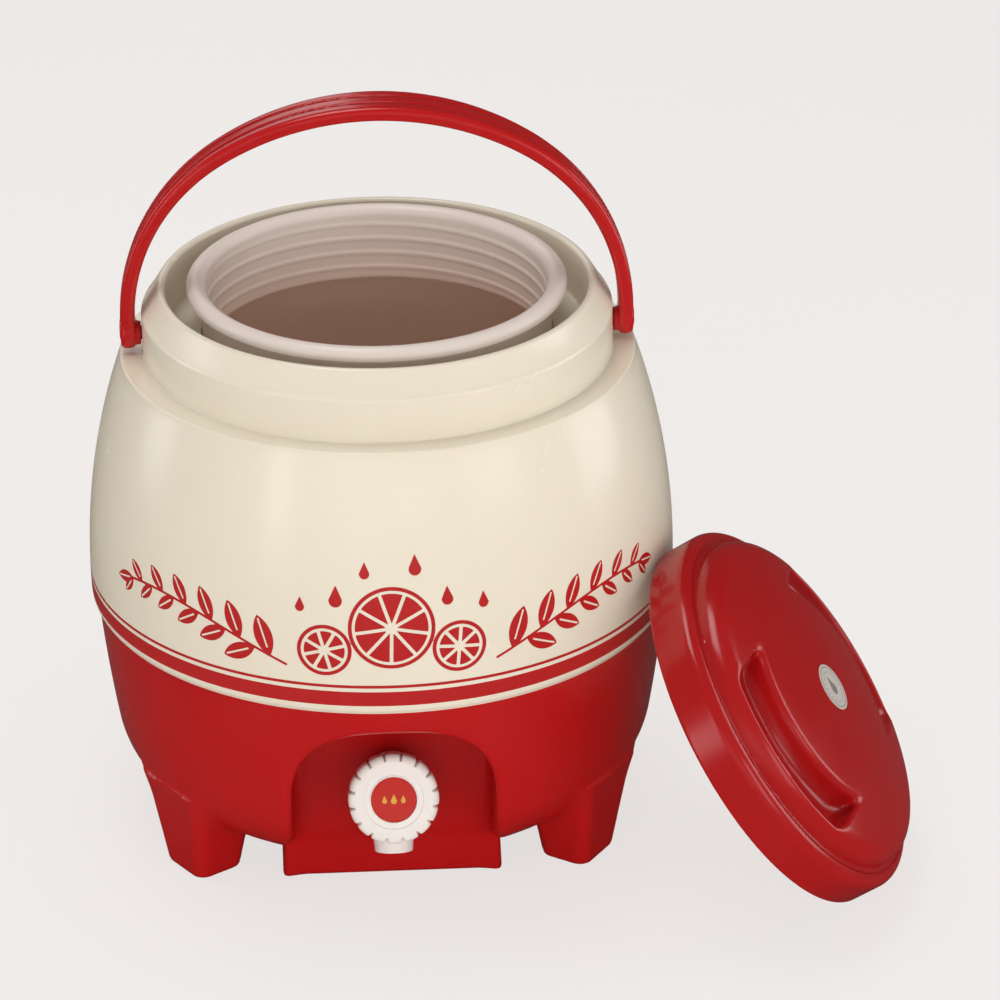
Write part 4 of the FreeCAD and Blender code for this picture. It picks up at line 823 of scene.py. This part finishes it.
handle_mesh = skinned(handle_field, (-153.0, -18.0, 299.0), (153.0, 18.0, 455.0), 1.15)
piece("bail_handle", handle_mesh, "handle", red, ["handle_bail"], 60.0)


# Tap
# White polypropylene tap on a flange in the niche: a head that leans upwards, a tapered
# spout, and behind the wall its gaskets, spacer sleeve and hexagonal back nut.
# Semi-gloss white polypropylene, in which a little light spreads and softens the shadows.
white = moulded("white_polypropylene", "#efe9e3", "#e8e1da", 0.26, peel=0.16, soft=0.10)
HEAD_TILT = math.radians(20.0)
TAP_PLACE = Matrix.Translation((0.0, -0.118, TAP_Z))
HEAD = TAP_PLACE @ Matrix.Rotation(math.pi / 2 - HEAD_TILT, 4, "X")


def tap_field(x, y, z):
    """In millimetres from the centre of the head, z along the jug's own axis."""
    head_r, head_long, shank_r, shank_half, flange_r, flange_y = 15.0, 16.0, 9.0, 23.0, 17.0, 14.0
    spout_y, spout_z, spout_top, spout_r, spout_long, draft = -8.0, -22.0, 12.2, 11.0, 24.0, 0.0917
    chamber_r, port_r, way_r, bore_r = 9.5, 5.0, 5.5, 8.0
    tilt_out, tilt_up = math.cos(HEAD_TILT), math.sin(HEAD_TILT)
    along = -y * tilt_out + z * tilt_up
    beside = np.hypot(x, y * tilt_up + z * tilt_out)
    ball = np.sqrt(x * x + y * y + z * z) - head_r
    barrel = soft_max(beside - head_r, np.maximum(along - head_long, -along), 0.6)
    head = np.minimum(ball, barrel)
    shank_line = np.hypot(x, z)
    shank = np.maximum(shank_line - shank_r, np.abs(y - shank_half) - shank_half)
    flange = soft_max(shank_line - flange_r, np.abs(y - flange_y) - 2.0, 1.2)
    fall = (z - spout_z) * tilt_out + (y - spout_y) * tilt_up + spout_top
    spout_line = np.hypot(x, (y - spout_y) * tilt_out - (z - spout_z) * tilt_up)
    spout = soft_max(spout_line - spout_r - fall * draft, np.maximum(-fall, fall - spout_long), 0.5)
    body = soft_min(soft_min(head, spout, 3.0), np.minimum(shank, flange), 1.5)
    chamber = np.maximum(beside - chamber_r, -along)
    port = np.maximum(beside - port_r, np.abs(along + 3.75) - 4.25)
    way = np.maximum(shank_line - way_r, np.abs(y - 25.0) - 22.0)
    bore = np.maximum(spout_line - bore_r, fall - spout_long - 4.0)
    room = np.minimum(np.minimum(chamber, port), np.minimum(way, bore))
    return soft_max(body, -room, 0.5)


tap_mesh = skinned(tap_field, (-20.0, -30.0, -40.0), (20.0, 48.0, 22.0), 0.85, TAP_PLACE)
piece("tap_housing", tap_mesh, "jug", white, ["tap_body"], 40.0)


# Knob
# White lobed dial in sixteen lobes with a flat ring, turned by the fingers, with a red
# cap pressed into its middle over the screw.
def ring_tree():
    """Copies one lobe round the Z axis and welds the copies into a ring."""
    tree, given = form_tree("ring_of_lobes", "Lobe", whole=("Count",))
    lobe, count = given.outputs["Lobe"], given.outputs["Count"]
    spots = add(tree, "GeometryNodePoints", [(count, "Count")])
    index = add(tree, "GeometryNodeInputIndex")
    share = add(tree, "ShaderNodeMath", [(index, 0), (count, 1)], operation="DIVIDE")
    angle = add(tree, "ShaderNodeMath", [(share, 0)], {1: 2 * math.pi}, operation="MULTIPLY")
    turn = add(tree, "ShaderNodeCombineXYZ", [(angle, "Z")])
    copies = add(tree, "GeometryNodeInstanceOnPoints",
                 [(spots, "Points"), (lobe, "Instance"), (turn, "Rotation")])
    return close_form(tree, given, copies, weld=2e-6)


LOBES = 16
KNOB_OUT, KNOB_BACK, KNOB_FRONT, SCREW_HOLE = 26.0, 20.4, 34.0, 4.05
CAP_SEAT, CAP_HOLE, CAP_OUT, CAP_EDGE, CAP_RIM, CAP_TOP = 31.9, 13.3, 13.15, 12.7, 33.95, 34.55
lobe_outline = [
    (SCREW_HOLE, KNOB_BACK), (9.0, KNOB_BACK), (9.0, 28.8), (21.0, 28.8), (21.0, KNOB_BACK),
    (24.8, KNOB_BACK, 1.2, 1), (KNOB_OUT, 21.6), (KNOB_OUT, 30.2, 4.6, 1), (21.6, KNOB_FRONT),
    (17.4, KNOB_FRONT), (16.9, 33.6), (14.2, 33.6), (13.9, 34.1), (CAP_HOLE, 34.1), (CAP_HOLE, CAP_SEAT),
    (6.0, CAP_SEAT), (6.0, 29.2), (SCREW_HOLE, 29.2),
]


def lobe_mesh(outline):
    """One lobe: the outline turned through its share of the round, with half a notch at each end."""
    slices, longest = 24, 1.2
    notch_half, notch_deep, notch_dip, swell_high = 0.95, 2.1, 0.35, 0.21
    edge_start, edge_wide, front_start, front_wide = 22.6, 1.6, 24.0, 8.0
    corners = curve_points(outline, 12.0)
    points = [
        (a[0] + (b[0] - a[0]) * k / n, a[1] + (b[1] - a[1]) * k / n)
        for a, b in zip(corners, corners[1:] + corners[:1])
        for n in [max(1, round(math.dist(a, b) / longest))] for k in range(n)
    ]
    half = math.pi / LOBES
    spots = []
    for k in range(slices + 1):
        turn = half * (2 * k / slices - 1)
        notch = max(0.0, 1.0 - (half - abs(turn)) * KNOB_OUT / notch_half) ** 0.7 * notch_deep
        swell = (1 - (turn / half) ** 2) * swell_high
        for r, z in points:
            edge = min(max((r - edge_start) / edge_wide, 0.0), 1.0)
            front = min(max((z - front_start) / front_wide, 0.0), 1.0)
            radius = r - edge * (notch - swell)
            height = z - notch * notch_dip * edge * front
            spots.append((radius * math.cos(turn) / 1000, radius * math.sin(turn) / 1000, height / 1000))
    width = len(points)
    made = bpy.data.meshes.new("lobe")
    made.from_pydata(spots, [], [
        (i * width + j, (i + 1) * width + j, (i + 1) * width + (j + 1) % width, i * width + (j + 1) % width)
        for i in range(slices) for j in range(width)
    ])
    return made


knob_mesh = grown(ring_tree(), lobe_mesh(lobe_outline), {"Count": LOBES, "Material": white})
knob_mesh.transform(HEAD)
piece("dial", knob_mesh, "knob", white, ["tap_knob"], 38.0)
# The cap's red leans to orange, as its thin moulding lies over white.
cap_red = moulded("red_cap_polypropylene", "#c41c0a", "#ba1808", 0.24, peel=0.08)
cap_mesh = turned([
    (0.0, CAP_SEAT + 0.05), (CAP_OUT, CAP_SEAT + 0.05), (CAP_OUT, 33.6, 0.4, 1), (CAP_EDGE, CAP_RIM),
    (0.0, CAP_TOP),
], cap_red, 96)
cap_mesh.transform(HEAD)
piece("dial_cap", cap_mesh, "knob", cap_red, ["knob_cap"], 30.0)


def cap_print(x, z):
    """Three drops in a row."""
    middle, beside, spacing, low = 1.7, 1.35, 5.4, -0.6
    pair = np.minimum(drop(x, z, -spacing, low, beside), drop(x, z, spacing, low, beside))
    return np.minimum(pair, drop(x, z, 0.0, low, middle))


LAID_FLAT = Matrix(((1.0, 0.0, 0.0, 0.0), (0.0, 0.0, 1.0, 0.0), (0.0, 1.0, 0.0, 0.0), (0.0, 0.0, 0.0, 1.0)))
# Opaque yellow ink stands out on the red as a small bright mark.
yellow_ink = printing_ink("yellow_printing_ink", "#cf9d2c", "#dcae3a")
drops_mesh = printed(cap_print, (-8.0, -4.0), (8.0, 4.0), 0.2, 0.08)
drops_mesh.transform(LAID_FLAT)
for vert in drops_mesh.vertices:
    vert.co.z += CAP_TOP / 1000 + 0.00002
    vert.co.z -= math.hypot(vert.co.x, vert.co.y) * (CAP_TOP - CAP_RIM) / CAP_EDGE
drops_mesh.transform(HEAD)
piece("cap_drops", drops_mesh, "knob", yellow_ink, (), 30.0)


# Lid
# Red screw lid that leans against the jug: skirt, groove, raised crown with two
# curved finger recesses, moulded in one piece round a foam-filled white plug.
LEAN, TURN, ROLL = math.radians(35.0), math.radians(-14.02), math.radians(-5.6)
lid_axis = Vector((math.cos(LEAN) * math.cos(TURN), math.cos(LEAN) * math.sin(TURN), math.sin(LEAN)))
level = Vector((-math.sin(TURN), math.cos(TURN), 0.0))
lid_across = level * math.cos(ROLL) + lid_axis.cross(level) * math.sin(ROLL)
lid_along = lid_axis.cross(lid_across)
LID_OUT = 114.8
lid_place = (0.2177, -0.1017, (LID_OUT * math.cos(LEAN) + 0.3) / 1000)
ON_LID = Matrix((
    (lid_across.x, lid_along.x, lid_axis.x, lid_place[0]),
    (lid_across.y, lid_along.y, lid_axis.y, lid_place[1]),
    (lid_across.z, lid_along.z, lid_axis.z, lid_place[2]),
    (0.0, 0.0, 0.0, 1.0),
))


def lid_field(x, y, z):
    """Skirt and domed crown with a groove between them, and two recesses beside the grip."""
    skirt_top, dome_top, dome_arc, crown_out = 26.0, 49.6, 457.7, 104.4
    groove_out, groove_z, groove_r = 106.8, 26.6, 1.5
    recess_out, recess_half, recess_long, recess_floor = 83.9, 13.1, 54.0, 29.0
    radius = np.hypot(x, y)
    skirt = round_box(radius, z + 1.0, LID_OUT, skirt_top + 1.0, 7.0)
    skirt = soft_max(skirt, -z, 1.2)
    dome = np.sqrt(radius ** 2 + (z + dome_arc - dome_top) ** 2) - dome_arc
    crown = soft_max(soft_max(radius - crown_out, dome, 12.0), -z, 1.0)
    body = soft_min(skirt, crown, 0.8)
    groove = np.hypot(radius - groove_out, z - groove_z) - groove_r
    body = soft_max(body, -groove, 0.8)
    hollow = soft_max(np.abs(radius - recess_out) - recess_half, np.abs(y) - recess_long, 7.0)
    hollow = soft_max(hollow, recess_floor - z, 9.0)
    return soft_max(body, -hollow, 4.0)


ROOM_OUT, ROOM_TOP, BELOW_LID = 112.3, 23.0, -2.0
lid_mesh = skinned(lid_field, (-117.5, -117.5, -3.0), (117.5, 117.5, 53.0), 1.15)
lid_room = turned([
    (0.0, BELOW_LID), (ROOM_OUT, BELOW_LID), (ROOM_OUT, ROOM_TOP - 2.5), (ROOM_OUT - 2.0, ROOM_TOP),
    (0.0, ROOM_TOP),
], red, 160)
lid_mesh = joined(lid_mesh, lid_room, "DIFFERENCE")
lid_mesh.transform(ON_LID)
# The lid's red is the bowl's, one shade darker: painted shade that tones down its upturned crown.
lid_red = moulded("red_lid_polypropylene", "#a91214", "#a00f11", 0.20, peel=0.10)
piece("lid_moulding", lid_mesh, "lid", lid_red, ["lid_cover"], 40.0)

PLUG_OUT, PLUG_LOW, PLUG_TOP, FLANGE_OUT, FLANGE_TOP = 97.5, 1.0, 20.5, 108.6, 22.9
plug_outline = [
    (0.0, PLUG_LOW), (PLUG_OUT - 1.5, PLUG_LOW, 1.5, 1), (PLUG_OUT, PLUG_LOW + 1.5),
] + close_steps(PLUG_OUT, PLUG_LOW + 1.5, PLUG_TOP) + [
    (PLUG_OUT, PLUG_TOP), (FLANGE_OUT, PLUG_TOP), (FLANGE_OUT, FLANGE_TOP), (PLUG_OUT - SKIN, FLANGE_TOP),
    (PLUG_OUT - SKIN, PLUG_LOW + SKIN), (0.0, PLUG_LOW + SKIN),
]
plug_mesh = turned(plug_outline, vessel_white, 256, 8.0)
plug_mesh = grown(cut_thread, plug_mesh, {
    "Radius": PLUG_OUT / 1000, "Pitch": THREAD_PITCH, "Depth": 0.0013, "Low": 0.003, "High": 0.0185,
    "Material": vessel_white,
})
plug_mesh.transform(ON_LID)
piece("lid_plug_cup", plug_mesh, "lid", vessel_white, ["lid_plug"], 45.0)

# Silvered film gives a dull, slightly metallic sheen.
label_film, tree = new_material("satin_polyester_label")
place = add(tree, "ShaderNodeTexCoord").outputs["Object"]
haze = add(tree, "ShaderNodeTexNoise", [(place, "Vector")], {"Scale": 300.0, "Detail": 3.0})
film = add(tree, "ShaderNodeMix", [(haze, 0)], {"A": shade("#ddd6cf"), "B": shade("#cfc7c0")},
           data_type="RGBA")
satin = add(tree, "ShaderNodeBsdfPrincipled", [(film.outputs["Result"], "Base Color")],
            {"Metallic": 0.25, "Roughness": 0.38})
add(tree, "ShaderNodeOutputMaterial", [(satin, "Surface")])
LABEL_LOW, LABEL_TOP = 49.32, 49.62
label_mesh = turned([
    (0.0, LABEL_LOW), (14.4, LABEL_LOW), (14.5, 49.4), (14.5, 49.55), (14.4, LABEL_TOP), (0.0, LABEL_TOP),
], label_film, 96)
label_mesh.transform(ON_LID)
piece("round_label", label_mesh, "lid", label_film, ["lid_label"], 30.0)


def label_print(x, z):
    """Ring, a round of dots inside it, and a drop in the middle."""
    dots, dot_out, dot_r = 20, 9.7, 0.6
    ring_out, ring_half, drop_r = 12.7, 0.3, 3.6
    out = np.hypot(x, z)
    angle = np.arctan2(z, x)
    step = 2 * math.pi / dots
    off = (angle / step + 0.5) % 1.0 * step - step / 2
    dotted = np.hypot(out * np.cos(off) - dot_out, out * np.sin(off)) - dot_r
    ring = np.abs(out - ring_out) - ring_half
    return np.minimum(np.minimum(ring, dotted), drop(x, z, 0.0, -1.2, drop_r))


# Thin grey ink lets the film's sheen through and reads as a faint mark.
grey_ink = printing_ink("grey_printing_ink", "#8d8580", "#7f7772")
motif_mesh = printed(label_print, (-14.0, -14.0), (14.0, 14.0), 0.25, 0.06)
motif_mesh.transform(LAID_FLAT)
motif_mesh.transform(ON_LID @ Matrix.Translation((0.0, 0.0, LABEL_TOP / 1000 + 0.00001)))
piece("label_motif", motif_mesh, "lid", grey_ink, (), 30.0)


# Hidden pieces
# Foam, gaskets, seals, sleeve, nuts, stem and screw keep the shapes of their solids.
# Matt foam, soft rubber and turned steel, which shows fine dull and bright marks.
foam = moulded("polyurethane_foam", "#e8dcae", "#d6c68e", 0.9, peel=0.5)
seal = moulded("silicone_rubber", "#e9e7e1", "#dcdad3", 0.55, peel=0.2)
steel, tree = new_material("zinc_plated_steel")
place = add(tree, "ShaderNodeTexCoord").outputs["Object"]
turned_marks = add(tree, "ShaderNodeTexNoise", [(place, "Vector")], {"Scale": 900.0, "Detail": 2.0})
dull = add(tree, "ShaderNodeMapRange", [(turned_marks, "Value")], {"To Min": 0.25, "To Max": 0.45})
metal = add(tree, "ShaderNodeBsdfPrincipled", [(dull, "Roughness")],
            {"Base Color": shade("#b9bcc0"), "Metallic": 1.0})
add(tree, "ShaderNodeOutputMaterial", [(metal, "Surface")])
for label, material in (
    ("foam_core", foam), ("lid_foam", foam), ("tap_gasket_outer", seal), ("tap_gasket_inner", seal),
    ("stem_oring", seal), ("tap_seal", seal), ("lid_gasket", seal), ("tap_spacer", white),
    ("tap_back_nut", white), ("tap_bonnet", white), ("tap_stem", white), ("fill_plug", red),
    ("pivot_cups", ivory), ("knob_screw", steel),
):
    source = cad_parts[label].data
    source.materials.clear()
    source.materials.append(material)
